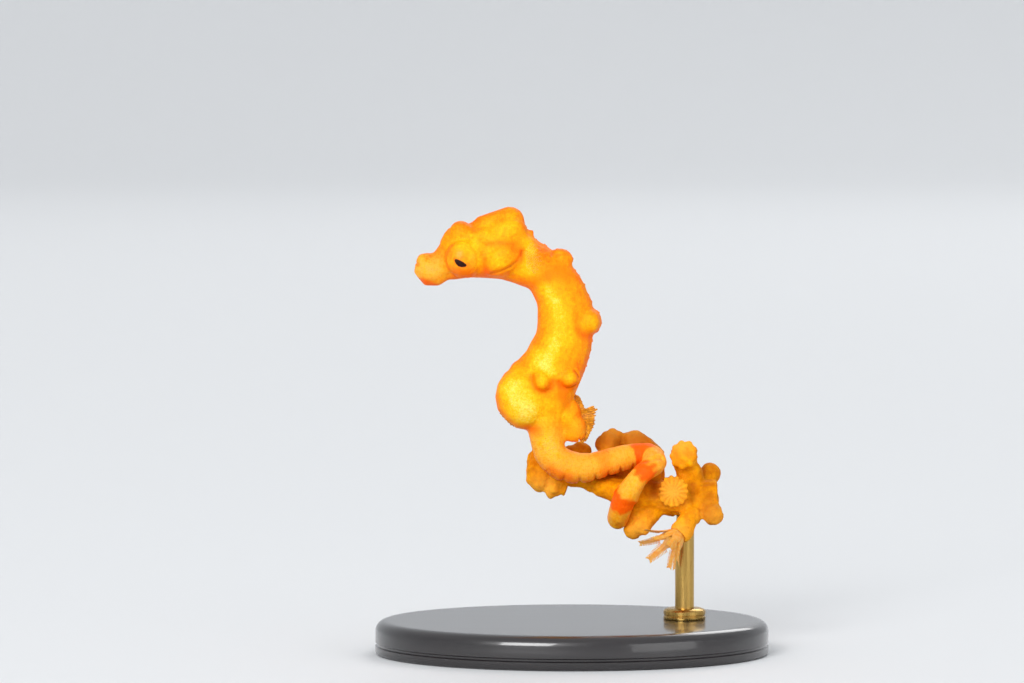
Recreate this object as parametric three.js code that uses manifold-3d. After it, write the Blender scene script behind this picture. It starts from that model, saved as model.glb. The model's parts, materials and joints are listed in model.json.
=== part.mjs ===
// A life-size museum model of a pygmy seahorse that grips a cut length of sea-fan twig, on a plain stand.
// Millimetres, +Z up. The animal looks along -X and its left side faces -Y.
// The origin is the middle of the stand's underside.
import * as THREE from "three";
import { mergeVertices } from "three/addons/utils/BufferGeometryUtils.js";
import Module from "manifold-3d";

const wasm = await Module();
wasm.setup();

// ---- Driving dimensions -------------------------------------------------------------------------------

const CUT = 0.04; // clear gap between neighbouring pieces
const BODY_SIDES = 18; // facets round the body
const RING_STEP = 0.33; // distance between rings along the body
const FRAME_STEPS = 800; // fine steps that carry the section's frame along the body

// Each station of the body is [x, y, z, depth to the back, depth to the belly, half width], mouth to tail.
const SNOUT = [
  [-5.55, 0, 13.79, 0.21, 0.21, 0.14],
  [-5.45, 0, 13.76, 0.5, 0.48, 0.36],
  [-5.24, 0, 13.72, 0.58, 0.6, 0.5],
  [-4.97, 0, 13.72, 0.54, 0.65, 0.51],
  [-4.69, 0, 13.76, 0.57, 0.62, 0.48],
];
const HEAD = [
  [-4.47, 0, 13.8, 0.89, 0.55, 0.52],
  [-4.22, 0, 13.88, 1.14, 0.57, 0.62],
  [-3.87, 0, 14.0, 1.24, 0.64, 0.74],
  [-3.48, 0, 14.13, 1.17, 0.78, 0.82],
  [-3.02, 0, 14.25, 1.14, 0.91, 0.86],
  [-2.52, 0, 14.32, 1.1, 0.99, 0.86],
];
const NECK = [
  [-2.02, 0, 14.27, 0.96, 1.05, 0.82],
  [-1.46, 0, 14.0, 0.71, 0.98, 0.74],
  [-0.92, 0, 13.6, 0.8, 0.94, 0.71],
  [-0.53, 0, 13.06, 0.91, 0.98, 0.73],
];
const TRUNK_UPPER = [
  [-0.3, 0, 12.46, 0.96, 0.98, 0.78],
  [-0.25, 0, 11.79, 1.01, 1.01, 0.84],
  [-0.37, 0, 11.11, 1.1, 1.11, 0.88],
];
const TRUNK_LOWER = [
  [-0.62, 0, 10.44, 1.15, 1.2, 0.9],
  [-0.85, 0, 9.69, 1.08, 1.3, 0.89],
  [-0.98, 0, 8.95, 0.96, 0.96, 0.8],
];
const TAIL_BASE = [
  [-0.94, 0, 8.2, 0.71, 0.69, 0.66],
  [-0.87, 0, 7.6, 0.6, 0.61, 0.59],
  [-0.71, 0, 7.08, 0.56, 0.61, 0.57],
  [-0.37, 0, 6.77, 0.59, 0.61, 0.56],
];
const TAIL_MIDDLE = [
  [0.07, 0, 6.65, 0.57, 0.6, 0.54],
  [0.6, 0, 6.66, 0.5, 0.53, 0.5],
  [1.17, 0.05, 6.8, 0.48, 0.49, 0.47],
  [1.77, 0.12, 6.96, 0.47, 0.47, 0.45],
];
// The tail's hairpin bend: an arc that leaves start, swings out along the first stretch and ends near end.
const HAIRPIN = {
  start: [2.33, 0.19, 7.08],
  end: [2.33, -0.92, 6.46],
  out: [0.98, 0, 0.2],
  sweep: 150,
  steps: 6,
  radius: 0.43,
};
const TAIL_RETURN = [[2.15, -0.92, 6.06, 0.41, 0.41, 0.41]];
// The tail's tip: a coil that passes in front of the twig, under it and up behind it.
const GRIP = {
  x: [1.84, 1.7, 1.63, 1.62, 1.68, 1.76, 1.84],
  startAngle: 10,
  step: 30,
  clearance: 0.06,
  radii: [0.4, 0.37, 0.35, 0.34, 0.32, 0.29, 0.24],
};

const BELLY = { at: [-1.6, 0, 9.16], size: [1.14, 1.02, 1.2] };
const FIN_ROOT = { from: [-0.43, 0, 8.72], to: [0.16, 0, 7.94], radii: [0.6, 0.36], width: 0.85 };
const CORONET = { from: [-3.05, 0, 15.1], to: [-2.22, 0, 15.4], radii: [0.56, 0.54], width: 0.8 };
const GILL_COVER = { at: [-2.5, 0.5, 14.1], size: [0.84, 0.5, 0.64], tilt: -22 };
const BROW = { at: [-3.95, 0.34, 15.1], size: [0.34, 0.26, 0.3] };
const NAPE_KNOB = { at: [-0.42, 0.16, 14.1], size: [0.33, 0.28, 0.36] };
const BACK_KNOB = { at: [0.62, 0.28, 11.85], size: [0.39, 0.36, 0.46] };
const FLANK_KNOBS = [
  { at: [-1.1, 0.74, 9.76], size: [0.31, 0.34, 0.38] },
  { at: [-0.12, 0.62, 9.86], size: [0.34, 0.32, 0.34] },
];

const EYE = { at: [-3.82, 0.62, 13.99], size: [0.5, 0.42, 0.5] };
const EYE_RIM = { at: [-3.8, 0.5, 14.01], size: [0.66, 0.44, 0.65] };

const FIN_THICKNESS = 0.5;
const FIN_BEVEL = 0.1;
const PECTORAL_FIN = { at: [-1.42, 0.74, 14.12], size: [0.3, FIN_THICKNESS / 2, 0.46], tilt: -18 };
const DORSAL_FIN = {
  start: [0.1, 9.3],
  leading: [0.5, 8.7],
  peak: [0.88, 8.76],
  trailing: [0.95, 8.1],
  end: [0.42, 7.62],
  inner: [-0.3, 8.2],
};
const ANAL_FIN = { at: [-2.24, 0, 8.34], size: [0.4, FIN_THICKNESS / 2, 0.24], tilt: 38 };

// The twig's stations are [x, y, z, radius], from the cut behind the tail's bend to the cut at the right.
const TWIG = [
  [-1.5, 1.3, 6.85, 0.42],
  [-0.3, 1.22, 6.45, 0.46],
  [0.7, 0.98, 6.08, 0.48],
  [1.66, 0.26, 5.74, 0.5],
  [2.7, 0.2, 5.6, 0.58],
  [4.0, 0.3, 5.5, 0.66],
  [5.2, 0.25, 5.62, 0.58],
];
const TWIG_SIDES = 14;
const TWIG_RINGS = 18;
const GRIP_STATION = 3; // the twig's station that the tail's grip goes round

// Closed polyps on the twig: [foot], [tip], foot radius, tip radius.
const POLYPS = [
  [[-0.75, 1.2, 6.6], [-0.62, 0.98, 5.85], 0.3, 0.34],
  [[-0.2, 1.2, 6.4], [-0.1, 1.05, 5.78], 0.28, 0.32],
  [[-1.3, 1.3, 6.85], [-1.35, 1.15, 6.15], 0.3, 0.3],
  [[0.3, 1.1, 6.2], [0.3, 1.2, 7.2], 0.28, 0.28],
  [[1.2, 0.8, 5.95], [1.34, 1.1, 7.48], 0.3, 0.4],
  [[2.6, 0.6, 5.8], [2.34, 1.2, 7.38], 0.34, 0.5],
  [[3.0, 0.5, 5.7], [2.9, 1.1, 7.3], 0.34, 0.46],
  [[4.2, 0.3, 5.7], [3.92, 0.25, 7.08], 0.34, 0.42],
  [[3.55, 0.35, 5.6], [3.5, -0.5, 5.85], 0.36, 0.48],
  [[3.1, 0.35, 5.35], [2.5, -0.05, 4.6], 0.38, 0.42],
  [[4.75, 0.3, 5.4], [5.0, -0.4, 5.0], 0.3, 0.4],
  [[4.6, 0.4, 5.7], [4.95, 1.05, 6.35], 0.3, 0.4],
];

// The stand: an oval base, a rod that goes up into the twig, and a collar round the rod's foot.
const BASE = { length: 14, width: 11, height: 1.2, edge: 0.25, sides: 48 };
const ROD = { x: 4.02, y: 0.3, radius: 0.34, foot: 0.5, top: 5.3, sides: 20 };
const COLLAR = { radius: 0.75, height: 0.4, edge: 0.1 };

const SKIN = new THREE.MeshStandardMaterial({ color: 0xf59a1c, roughness: 0.45, metalness: 0 });
const EYEBALL = new THREE.MeshStandardMaterial({ color: 0xc7741a, roughness: 0.08, metalness: 0 });
const FIN = new THREE.MeshStandardMaterial({ color: 0xd99a2e, roughness: 0.35, metalness: 0 });
const CORAL = new THREE.MeshStandardMaterial({ color: 0xd6801c, roughness: 0.65, metalness: 0 });
const LACQUER = new THREE.MeshStandardMaterial({ color: 0x1d1c1e, roughness: 0.3, metalness: 0 });
const BRASS = new THREE.MeshStandardMaterial({ color: 0xb08d4a, roughness: 0.3, metalness: 1 });

// ---- Solids -------------------------------------------------------------------------------------------

/** The closed solid of a three.js geometry. */
function solid(geometry) {
  geometry.deleteAttribute("normal");
  geometry.deleteAttribute("uv");
  const merged = mergeVertices(geometry, 1e-5);
  return new wasm.Manifold(
    new wasm.Mesh({
      numProp: 3,
      vertProperties: new Float32Array(merged.attributes.position.array),
      triVerts: new Uint32Array(merged.index.array),
    }),
  );
}

/** A named mesh of a solid. */
function piece(name, made, material) {
  const { vertProperties, triVerts } = made.getMesh();
  const geometry = new THREE.BufferGeometry();
  geometry.setAttribute("position", new THREE.BufferAttribute(new Float32Array(vertProperties), 3));
  geometry.setIndex(new THREE.BufferAttribute(new Uint32Array(triVerts), 1));
  geometry.computeVertexNormals();
  const mesh = new THREE.Mesh(geometry, material);
  mesh.name = name;
  return mesh;
}

/** A ball stretched to size, grown all round and turned by tilt degrees about Y; side -1 is the left. */
function ball({ at, size, tilt = 0 }, side = 1, grow = 0, facets = 10) {
  const geometry = new THREE.SphereGeometry(1, facets, Math.round(facets * 0.7));
  geometry.scale(...size.map((half) => half + grow));
  geometry.rotateY(THREE.MathUtils.degToRad(tilt));
  geometry.translate(at[0], side * at[1], at[2]);
  return solid(geometry);
}

/** A lobe with two round ends: a ball with its halves drawn apart. */
function lobe(from, to, [fromRadius, toRadius], width = 1, facets = 9) {
  const start = new THREE.Vector3(...from);
  const end = new THREE.Vector3(...to);
  const along = end.clone().sub(start).normalize();
  const turn = new THREE.Quaternion().setFromUnitVectors(new THREE.Vector3(0, 1, 0), along);
  const geometry = new THREE.SphereGeometry(1, facets, 7);
  const position = geometry.attributes.position;
  const v = new THREE.Vector3();
  for (let i = 0; i < position.count; i++) {
    v.fromBufferAttribute(position, i);
    const far = v.y > 0;
    v.multiplyScalar(far ? toRadius : fromRadius).applyQuaternion(turn);
    v.y *= width;
    v.add(far ? end : start);
    position.setXYZ(i, v.x, v.y, v.z);
  }
  return solid(geometry);
}

/** A closed tube; place(u, angle, inner, out) puts the ring points, with u from 0 to 1 along it. */
function tube(place, rings, sides) {
  const geometry = new THREE.CylinderGeometry(1, 1, 1, sides, rings);
  const position = geometry.attributes.position;
  const p = new THREE.Vector3();
  for (let i = 0; i < position.count; i++) {
    p.fromBufferAttribute(position, i);
    place(0.5 - p.y, Math.atan2(p.z, p.x), Math.hypot(p.x, p.z), p);
    position.setXYZ(i, p.x, p.y, p.z);
  }
  return solid(geometry);
}

/** A turned solid about +Z through [x, y], from a list of [radius, height]; stretched in Y by squash. */
function turned(profile, [x, y] = [0, 0], sides = 24, squash = 1) {
  const points = profile.map(([radius, height]) => new THREE.Vector2(radius, height));
  const geometry = new THREE.LatheGeometry(points, sides);
  geometry.rotateX(Math.PI / 2);
  geometry.scale(1, squash, 1);
  geometry.translate(x, y, 0);
  return solid(geometry);
}

/** A list of solids joined into one. */
function join(solids) {
  return solids.reduce((whole, next) => whole.add(next));
}

/** One solid with a list of others taken away. */
function without(whole, solids) {
  return solids.reduce((left, next) => left.subtract(next), whole);
}

/** The same ball on both sides of the body. */
function pair(shape, grow = 0) {
  return [ball(shape, 1, grow), ball(shape, -1, grow)];
}

// ---- The twig -----------------------------------------------------------------------------------------

const twigLine = new THREE.CatmullRomCurve3(TWIG.map(([x, y, z]) => new THREE.Vector3(x, y, z)));
const twigFrames = twigLine.computeFrenetFrames(TWIG_RINGS);

/** The twig's radius at u along it. */
function twigRadius(u) {
  const t = twigLine.getUtoTmapping(u) * (TWIG.length - 1);
  const i = Math.min(Math.floor(t), TWIG.length - 2);
  return THREE.MathUtils.lerp(TWIG[i][3], TWIG[i + 1][3], t - i);
}

/** The twig with its polyps. */
function twig() {
  const stem = tube(
    (u, angle, inner, out) => {
      const k = Math.round(u * TWIG_RINGS);
      const r = inner * twigRadius(u);
      out
        .copy(twigLine.getPointAt(u))
        .addScaledVector(twigFrames.normals[k], r * Math.cos(angle))
        .addScaledVector(twigFrames.binormals[k], r * Math.sin(angle));
    },
    TWIG_RINGS,
    TWIG_SIDES,
  );
  return join([stem, ...POLYPS.map(([foot, tip, footR, tipR]) => lobe(foot, tip, [footR, tipR]))]);
}

// ---- The body -----------------------------------------------------------------------------------------

/** Stations round the hairpin. */
function hairpinStations({ start, end, out, sweep, steps, radius }) {
  const from = new THREE.Vector3(...start);
  const middle = new THREE.Vector3(...end).add(from).multiplyScalar(0.5);
  const arm = from.clone().sub(middle);
  const outwards = new THREE.Vector3(...out).setLength(arm.length());
  return Array.from({ length: steps + 1 }, (_, k) => {
    const angle = THREE.MathUtils.degToRad((sweep * k) / steps);
    const at = middle
      .clone()
      .addScaledVector(arm, Math.cos(angle))
      .addScaledVector(outwards, Math.sin(angle));
    return [...at.toArray(), radius, radius, radius];
  });
}

/** Stations on the grip's coil. */
function gripStations({ x, startAngle, step, clearance, radii }) {
  const [, y, z, radius] = TWIG[GRIP_STATION];
  return radii.map((tail, k) => {
    const angle = THREE.MathUtils.degToRad(startAngle + step * k);
    const far = radius + tail + clearance;
    return [x[k], y - far * Math.cos(angle), z - far * Math.sin(angle), tail, tail, tail];
  });
}

const LENGTHS = {
  snout: SNOUT,
  head: HEAD,
  neck: NECK,
  trunk_upper: TRUNK_UPPER,
  trunk_lower: TRUNK_LOWER,
  tail_base: TAIL_BASE,
  tail_middle: TAIL_MIDDLE,
  tail_bend: hairpinStations(HAIRPIN),
  tail_return: TAIL_RETURN,
  tail_grip: gripStations(GRIP),
};
const names = Object.keys(LENGTHS);
const stations = Object.values(LENGTHS).flat();
const bodyLine = new THREE.CatmullRomCurve3(stations.map(([x, y, z]) => new THREE.Vector3(x, y, z)));
const bodyRadii = new THREE.CatmullRomCurve3(
  stations.map(([, , , back, belly, side]) => new THREE.Vector3(back, belly, side)),
);
bodyLine.arcLengthDivisions = FRAME_STEPS;
const bodyLength = bodyLine.getLength();
const bodyLengths = bodyLine.getLengths(FRAME_STEPS);
const bodyFrames = bodyLine.computeFrenetFrames(FRAME_STEPS);

/** How far along the body a station lies, as a share of the body's length. */
function reach(index) {
  return bodyLengths[Math.round((index / (stations.length - 1)) * FRAME_STEPS)] / bodyLength;
}

/** The body from one share of its length to another, grown all round. */
function bodyTube(from, to, grow = 0) {
  const rings = Math.max(2, Math.round(((to - from) * bodyLength) / RING_STEP));
  const radii = new THREE.Vector3();
  return tube(
    (share, angle, inner, out) => {
      const u = THREE.MathUtils.lerp(from, to, share);
      const k = Math.round(u * FRAME_STEPS);
      bodyRadii.getPoint(bodyLine.getUtoTmapping(u), radii);
      const depth = (Math.cos(angle) > 0 ? radii.x : radii.y) + grow;
      out
        .copy(bodyLine.getPointAt(u))
        .addScaledVector(bodyFrames.binormals[k], -inner * depth * Math.cos(angle))
        .addScaledVector(bodyFrames.normals[k], inner * (radii.z + grow) * Math.sin(angle));
    },
    rings,
    BODY_SIDES,
  );
}

/** Every length of the body, with half a cut taken off at each joint; longer and fatter when grown. */
function bodyLengthsOf(grow = 0) {
  const trim = (CUT / 2 - 1.5 * grow) / bodyLength;
  let index = 0;
  const starts = names.map((name) => {
    const start = reach(index);
    index += LENGTHS[name].length;
    return start;
  });
  const tubes = {};
  names.forEach((name, i) => {
    const from = i ? starts[i] + trim : 0;
    const to = i + 1 < names.length ? starts[i + 1] - trim : 1;
    tubes[name] = bodyTube(from, to, grow);
  });
  return tubes;
}

/** The upright plate of the fin on the back, with bevelled edges. */
function dorsalFin() {
  const outline = new THREE.Shape();
  outline.moveTo(...DORSAL_FIN.start);
  outline.quadraticCurveTo(...DORSAL_FIN.leading, ...DORSAL_FIN.peak);
  outline.quadraticCurveTo(...DORSAL_FIN.trailing, ...DORSAL_FIN.end);
  outline.lineTo(...DORSAL_FIN.inner);
  const geometry = new THREE.ExtrudeGeometry(outline, {
    depth: FIN_THICKNESS - 2 * FIN_BEVEL,
    bevelThickness: FIN_BEVEL,
    bevelSize: FIN_BEVEL,
    bevelOffset: -FIN_BEVEL,
    bevelSegments: 2,
    curveSegments: 6,
  });
  geometry.translate(0, 0, FIN_BEVEL - FIN_THICKNESS / 2);
  geometry.rotateX(Math.PI / 2);
  return solid(geometry);
}

/** The lobes of the body that are drawn out between two balls, grown all round. */
function drawnOut({ from, to, radii, width }, grow = 0) {
  return lobe(from, to, radii.map((radius) => radius + grow), width, 14);
}

// ---- Flesh, eyes and fins -----------------------------------------------------------------------------

const lengths = bodyLengthsOf();
const grown = bodyLengthsOf(CUT);
const lumps = {
  head: [...pair(GILL_COVER), ...pair(BROW), ...pair(EYE_RIM)],
  neck: pair(NAPE_KNOB),
  trunk_upper: pair(BACK_KNOB),
  trunk_lower: [ball(BELLY, 1, 0, 16), drawnOut(FIN_ROOT), ...FLANK_KNOBS.flatMap((knob) => pair(knob))],
};
const sockets = {
  head: pair(EYE, CUT),
  neck: pair(PECTORAL_FIN, CUT),
  trunk_lower: [ball(ANAL_FIN, 1, CUT)],
};
const flesh = {};
names.forEach((name, i) => {
  const around = [grown[names[i - 1]], grown[names[i + 1]]].filter(Boolean);
  const added = (lumps[name] ?? []).map((lump) => without(lump, around));
  flesh[name] = without(join([lengths[name], ...added]), sockets[name] ?? []);
});
const coronet = without(drawnOut(CORONET), [grown.head, grown.neck]);
const finBed = [ball(BELLY, 1, CUT, 16), drawnOut(FIN_ROOT, CUT), grown.trunk_lower, grown.tail_base];
const [eyeRight, eyeLeft] = pair(EYE);
const [pectoralRight, pectoralLeft] = pair(PECTORAL_FIN).map((fin) =>
  without(fin, [...pair(GILL_COVER, CUT), grown.head]),
);

// ---- Stand --------------------------------------------------------------------------------------------

const rodAt = [ROD.x, ROD.y];
const half = BASE.length / 2;
const base = turned(
  [
    [0, 0],
    [half - BASE.edge / 2, 0],
    [half, BASE.edge / 2],
    [half, BASE.height - BASE.edge],
    [half - BASE.edge, BASE.height],
    [0, BASE.height],
  ],
  [0, 0],
  BASE.sides,
  BASE.width / BASE.length,
);
const rodOf = (grow) =>
  turned(
    [
      [0, ROD.foot - grow],
      [ROD.radius + grow, ROD.foot - grow],
      [ROD.radius + grow, ROD.top + grow],
      [0, ROD.top + grow],
    ],
    rodAt,
    ROD.sides,
  );
const rodSpace = rodOf(CUT);
const collarFoot = BASE.height + CUT / 2;
const collar = turned(
  [
    [0, collarFoot],
    [COLLAR.radius, collarFoot],
    [COLLAR.radius, collarFoot + COLLAR.height - COLLAR.edge],
    [COLLAR.radius - COLLAR.edge, collarFoot + COLLAR.height],
    [0, collarFoot + COLLAR.height],
  ],
  rodAt,
  ROD.sides,
);

// ---- The model ----------------------------------------------------------------------------------------

const model = new THREE.Group();
model.name = "pygmy_seahorse";
for (const name of names) model.add(piece(name, flesh[name], SKIN));
model.add(piece("coronet", coronet, SKIN));
model.add(piece("eye_left", eyeLeft, EYEBALL));
model.add(piece("eye_right", eyeRight, EYEBALL));
model.add(piece("pectoral_fin_left", pectoralLeft, FIN));
model.add(piece("pectoral_fin_right", pectoralRight, FIN));
model.add(piece("dorsal_fin", without(dorsalFin(), finBed), FIN));
model.add(piece("anal_fin", ball(ANAL_FIN), FIN));
const gripping = names.filter((name) => name.startsWith("tail")).map((name) => grown[name]);
model.add(piece("perch_branch", without(twig(), [...gripping, rodSpace]), CORAL));
model.add(piece("stand_base", base.subtract(rodSpace), LACQUER));
model.add(piece("stand_rod", rodOf(0), BRASS));
model.add(piece("stand_collar", collar.subtract(rodSpace), BRASS));
export default model;
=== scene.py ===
# %% [markdown]
# # A pygmy seahorse on a sea-fan twig
#
# This lesson dresses a small museum model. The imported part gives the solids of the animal, of the
# twig that it grips and of the stand. Here they get skin, eyes, fins, coral rind, brass and
# lacquer. The whole model is only 16 mm tall, and Blender's tools are made for bigger things, so
# each piece is modelled with one unit as one millimetre and is shrunk to metres when it is done.

# %% Load the frame
import json
import math

import bpy
import numpy as np
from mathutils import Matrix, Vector, kdtree

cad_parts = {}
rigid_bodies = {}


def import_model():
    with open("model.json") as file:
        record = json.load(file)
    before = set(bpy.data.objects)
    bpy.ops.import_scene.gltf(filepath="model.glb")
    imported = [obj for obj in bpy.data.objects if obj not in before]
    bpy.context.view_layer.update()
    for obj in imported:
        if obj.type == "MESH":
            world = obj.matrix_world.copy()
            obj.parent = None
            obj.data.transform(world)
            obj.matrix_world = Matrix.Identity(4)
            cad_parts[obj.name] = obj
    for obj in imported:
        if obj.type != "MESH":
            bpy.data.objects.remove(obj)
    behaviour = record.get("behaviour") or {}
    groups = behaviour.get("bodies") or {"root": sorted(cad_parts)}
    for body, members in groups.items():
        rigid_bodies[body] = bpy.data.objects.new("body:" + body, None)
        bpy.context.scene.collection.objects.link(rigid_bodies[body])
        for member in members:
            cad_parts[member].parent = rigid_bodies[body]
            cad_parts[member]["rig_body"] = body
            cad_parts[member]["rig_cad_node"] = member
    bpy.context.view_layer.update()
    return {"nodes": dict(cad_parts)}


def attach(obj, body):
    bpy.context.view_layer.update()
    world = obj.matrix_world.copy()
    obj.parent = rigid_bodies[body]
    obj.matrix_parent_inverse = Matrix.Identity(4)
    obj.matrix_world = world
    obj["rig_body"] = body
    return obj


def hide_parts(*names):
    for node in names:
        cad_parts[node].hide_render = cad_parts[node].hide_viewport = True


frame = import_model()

MM = 0.001

# %% [markdown]
# ## Small tools
#
# An operator acts on everything that is selected, so `only` deselects first. `apply_place` moves
# an object's place, turn and size into its mesh, because a finished piece sits at the origin,
# unturned and unscaled, as the solids of the frame do. What repeats is modelled once, and
# `copy_of` gives each copy a mesh of its own.

# %% Small tools
def only(*objects):
    """Select just these objects, with the first one active."""
    bpy.ops.object.select_all(action="DESELECT")
    for thing in objects:
        thing.select_set(True)
    bpy.context.view_layer.objects.active = objects[0]


def apply_place(piece):
    """Move an object's place, turn and size into its mesh."""
    only(piece)
    bpy.ops.object.transform_apply(location=True, rotation=True, scale=True)


def copy_of(piece):
    """A copy of an object, with a mesh of its own."""
    only(piece)
    bpy.ops.object.duplicate()
    return bpy.context.object


def discard(piece):
    """Delete an object that was only there to be copied."""
    only(piece)
    bpy.ops.object.delete()


def face_outwards(piece):
    """Turn the faces of every closed shell of a mesh to its outside."""
    only(piece)
    bpy.ops.object.mode_set(mode="EDIT")
    bpy.ops.mesh.select_all(action="SELECT")
    bpy.ops.mesh.normals_make_consistent(inside=False)
    bpy.ops.object.mode_set(mode="OBJECT")


def modifier(piece, kind, **settings):
    """Add a modifier, set it and apply it."""
    only(piece)
    bpy.ops.object.modifier_add(type=kind)
    added = piece.modifiers[-1]
    for name, value in settings.items():
        setattr(added, name, value)
    bpy.ops.object.modifier_apply(modifier=added.name)


def join(name, parts):
    """Join the parts into one object of this name."""
    only(*parts)
    bpy.ops.object.join()
    whole = bpy.context.object
    whole.name = name
    whole.data.name = name
    return whole


def triangles_of(piece):
    """How many triangles the faces of a mesh come to."""
    return sum(len(face.vertices) - 2 for face in piece.data.polygons)


def finish_piece(piece, nodes, material):
    """Shrink a piece to metres, give it its finish and tie it to the frame."""
    piece.scale = (MM, MM, MM)
    apply_place(piece)
    piece.data.materials.clear()
    piece.data.materials.append(material)
    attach(piece, "root")
    if nodes:
        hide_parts(*nodes)
    size = [round(v / MM, 2) for v in piece.dimensions]
    print(f"{piece.name}: {triangles_of(piece)} triangles, {size} mm")


# %% [markdown]
# ## The camera
#
# The animal is seen square from its left side, from just above its own height. A long lens from
# far off keeps the near and the far flank the same size, as a macro lens does. The view is much
# wider than the animal, which stands a little right of its middle.

# %% The camera
VIEW_MIDDLE = Vector((-2.13, 0, 11.13))
VIEW_WIDTH = 36.35
VIEW_RISE = math.radians(3.5)
LENS = 200.0
SENSOR = 36.0

towards_camera = Vector((0, -math.cos(VIEW_RISE), math.sin(VIEW_RISE)))
standing = VIEW_MIDDLE + towards_camera * (VIEW_WIDTH * LENS / SENSOR)
bpy.ops.object.camera_add(location=standing * MM)
camera = bpy.context.object
camera.name = "camera"
camera.rotation_euler = (-towards_camera).to_track_quat("-Z", "Y").to_euler()
camera.data.lens = LENS
camera.data.sensor_width = SENSOR
camera.data.clip_start = 0.01
camera.data.clip_end = 10
bpy.context.scene.camera = camera
print("camera stands", round(standing.length, 1), "mm from the foot of the model")

# %% [markdown]
# ## Floor and light
#
# A floor that curves up into a wall all round hides the horizon from every side. It could be two
# planes, but those would show a line. The bowl starts as a disc, and its rim is extruded outwards
# and upwards in steps of a quarter circle. Three large lamps and a pale sky give soft light: one
# lamp from the left and above, a weaker one from the right, and one behind for a bright edge.

# %% Stacked rings
def stacked_rings(name, sides, profile, closed=True, place=(0, 0)):
    """Extrude a ring upwards through a profile of (half width, half depth, height)."""
    bpy.ops.object.select_all(action="DESELECT")
    first = profile[0]
    bpy.ops.mesh.primitive_circle_add(
        vertices=sides, radius=1.0, location=(0, 0, first[2]), fill_type="NGON"
    )
    made = bpy.context.object
    made.name = made.data.name = name
    made.scale = (first[0], first[1], 1)
    apply_place(made)
    bpy.ops.object.mode_set(mode="EDIT")
    bpy.ops.mesh.select_mode(type="EDGE")
    bpy.ops.mesh.select_all(action="SELECT")
    for (wide, deep, low), (next_wide, next_deep, high) in zip(profile, profile[1:]):
        bpy.ops.mesh.extrude_edges_move(TRANSFORM_OT_translate={"value": (0, 0, high - low)})
        grow = (next_wide / wide, next_deep / deep, 1)
        bpy.ops.transform.resize(value=grow, center_override=(0, 0, high))
    if closed:
        bpy.ops.mesh.edge_face_add()
    bpy.ops.mesh.select_all(action="SELECT")
    bpy.ops.mesh.normals_make_consistent(inside=not closed)
    bpy.ops.object.mode_set(mode="OBJECT")
    made.location = (*place, 0)
    apply_place(made)
    return made


# %% Floor and light
FLOOR_REACH = 0.5
FLAT_STEP = 0.01
WALL_BEND = 0.3
WALL_TOP = 0.35
LAMP_AIM = Vector((0, 0, 9))

floor_profile = [(FLOOR_REACH, FLOOR_REACH, 0.0)]
for angle in range(0, 91, 6):
    reach = FLOOR_REACH + FLAT_STEP + WALL_BEND * math.sin(math.radians(angle))
    floor_profile.append((reach, reach, WALL_BEND * (1 - math.cos(math.radians(angle)))))
floor_profile.append((reach + FLAT_STEP, reach + FLAT_STEP, WALL_BEND + WALL_TOP))
floor = stacked_rings("floor", 96, floor_profile, closed=False)
bpy.ops.object.shade_smooth()

paper = bpy.data.materials.new("pale_paper")
paper.use_nodes = True
paper_shader = paper.node_tree.nodes["Principled BSDF"]
paper_shader.inputs["Base Color"].default_value = (0.74, 0.75, 0.76, 1)
paper_shader.inputs["Roughness"].default_value = 0.9
floor.data.materials.append(paper)

sky = bpy.data.worlds.new("pale_sky")
bpy.context.scene.world = sky
sky.use_nodes = True
sky_light = sky.node_tree.nodes["Background"]
sky_light.inputs["Color"].default_value = (0.95, 0.97, 1.0, 1)
sky_light.inputs["Strength"].default_value = 0.7
bpy.context.scene.view_settings.view_transform = "Standard"


def soft_lamp(name, place, width, power):
    """A large square lamp that faces the animal; place and width are in millimetres."""
    bpy.ops.object.light_add(type="AREA", location=Vector(place) * MM)
    lamp = bpy.context.object
    lamp.name = name
    lamp.data.size = width * MM
    lamp.data.energy = power
    aim = LAMP_AIM * MM - lamp.location
    lamp.rotation_euler = aim.to_track_quat("-Z", "Y").to_euler()


soft_lamp("lamp_key", (-210, -510, 280), 262, 2.7)
soft_lamp("lamp_fill", (385, -370, 64), 352, 0.6)
soft_lamp("lamp_behind", (158, 420, 385), 280, 0.8)

# %% [markdown]
# ## The lump of clay
#
# The real animal has one soft skin with no seams, but the solids are cut into lengths. A skin
# could be drawn by hand over them; it is quicker and truer to copy them. Every length is copied,
# swollen a little so that neighbours overlap, and joined with balls for the soft forms that the
# solids leave out. A voxel remesh then keeps only the outside, the swelling is taken back, and
# some smoothing rounds the facets. What remains is a lump of clay, ready for carving.

# %% The lump of clay
FLESH = (
    "snout", "head", "coronet", "neck", "trunk_upper", "trunk_lower",
    "tail_base", "tail_middle", "tail_bend", "tail_return", "tail_grip",
)
SWELL = 0.03
MERGE_REACH = 0.0005


def clay_copy(node):
    """A copy of a solid of the frame in millimetres, with its loose corners merged."""
    copy = copy_of(frame["nodes"][node])
    bpy.ops.object.parent_clear(type="CLEAR_KEEP_TRANSFORM")
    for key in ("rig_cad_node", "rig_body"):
        del copy[key]
    copy.scale = (1 / MM, 1 / MM, 1 / MM)
    apply_place(copy)
    bpy.ops.object.mode_set(mode="EDIT")
    bpy.ops.mesh.select_all(action="SELECT")
    bpy.ops.mesh.remove_doubles(threshold=MERGE_REACH)
    bpy.ops.object.mode_set(mode="OBJECT")
    return copy


def clay_ball(place, size, turn=0.0):
    """A ball with these half sizes, turned about Y by an angle in degrees."""
    bpy.ops.object.select_all(action="DESELECT")
    bpy.ops.mesh.primitive_uv_sphere_add(segments=32, ring_count=20, radius=1.0, location=place)
    made = bpy.context.object
    made.scale = size
    made.rotation_euler = (0, math.radians(turn), 0)
    apply_place(made)
    return made


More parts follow.
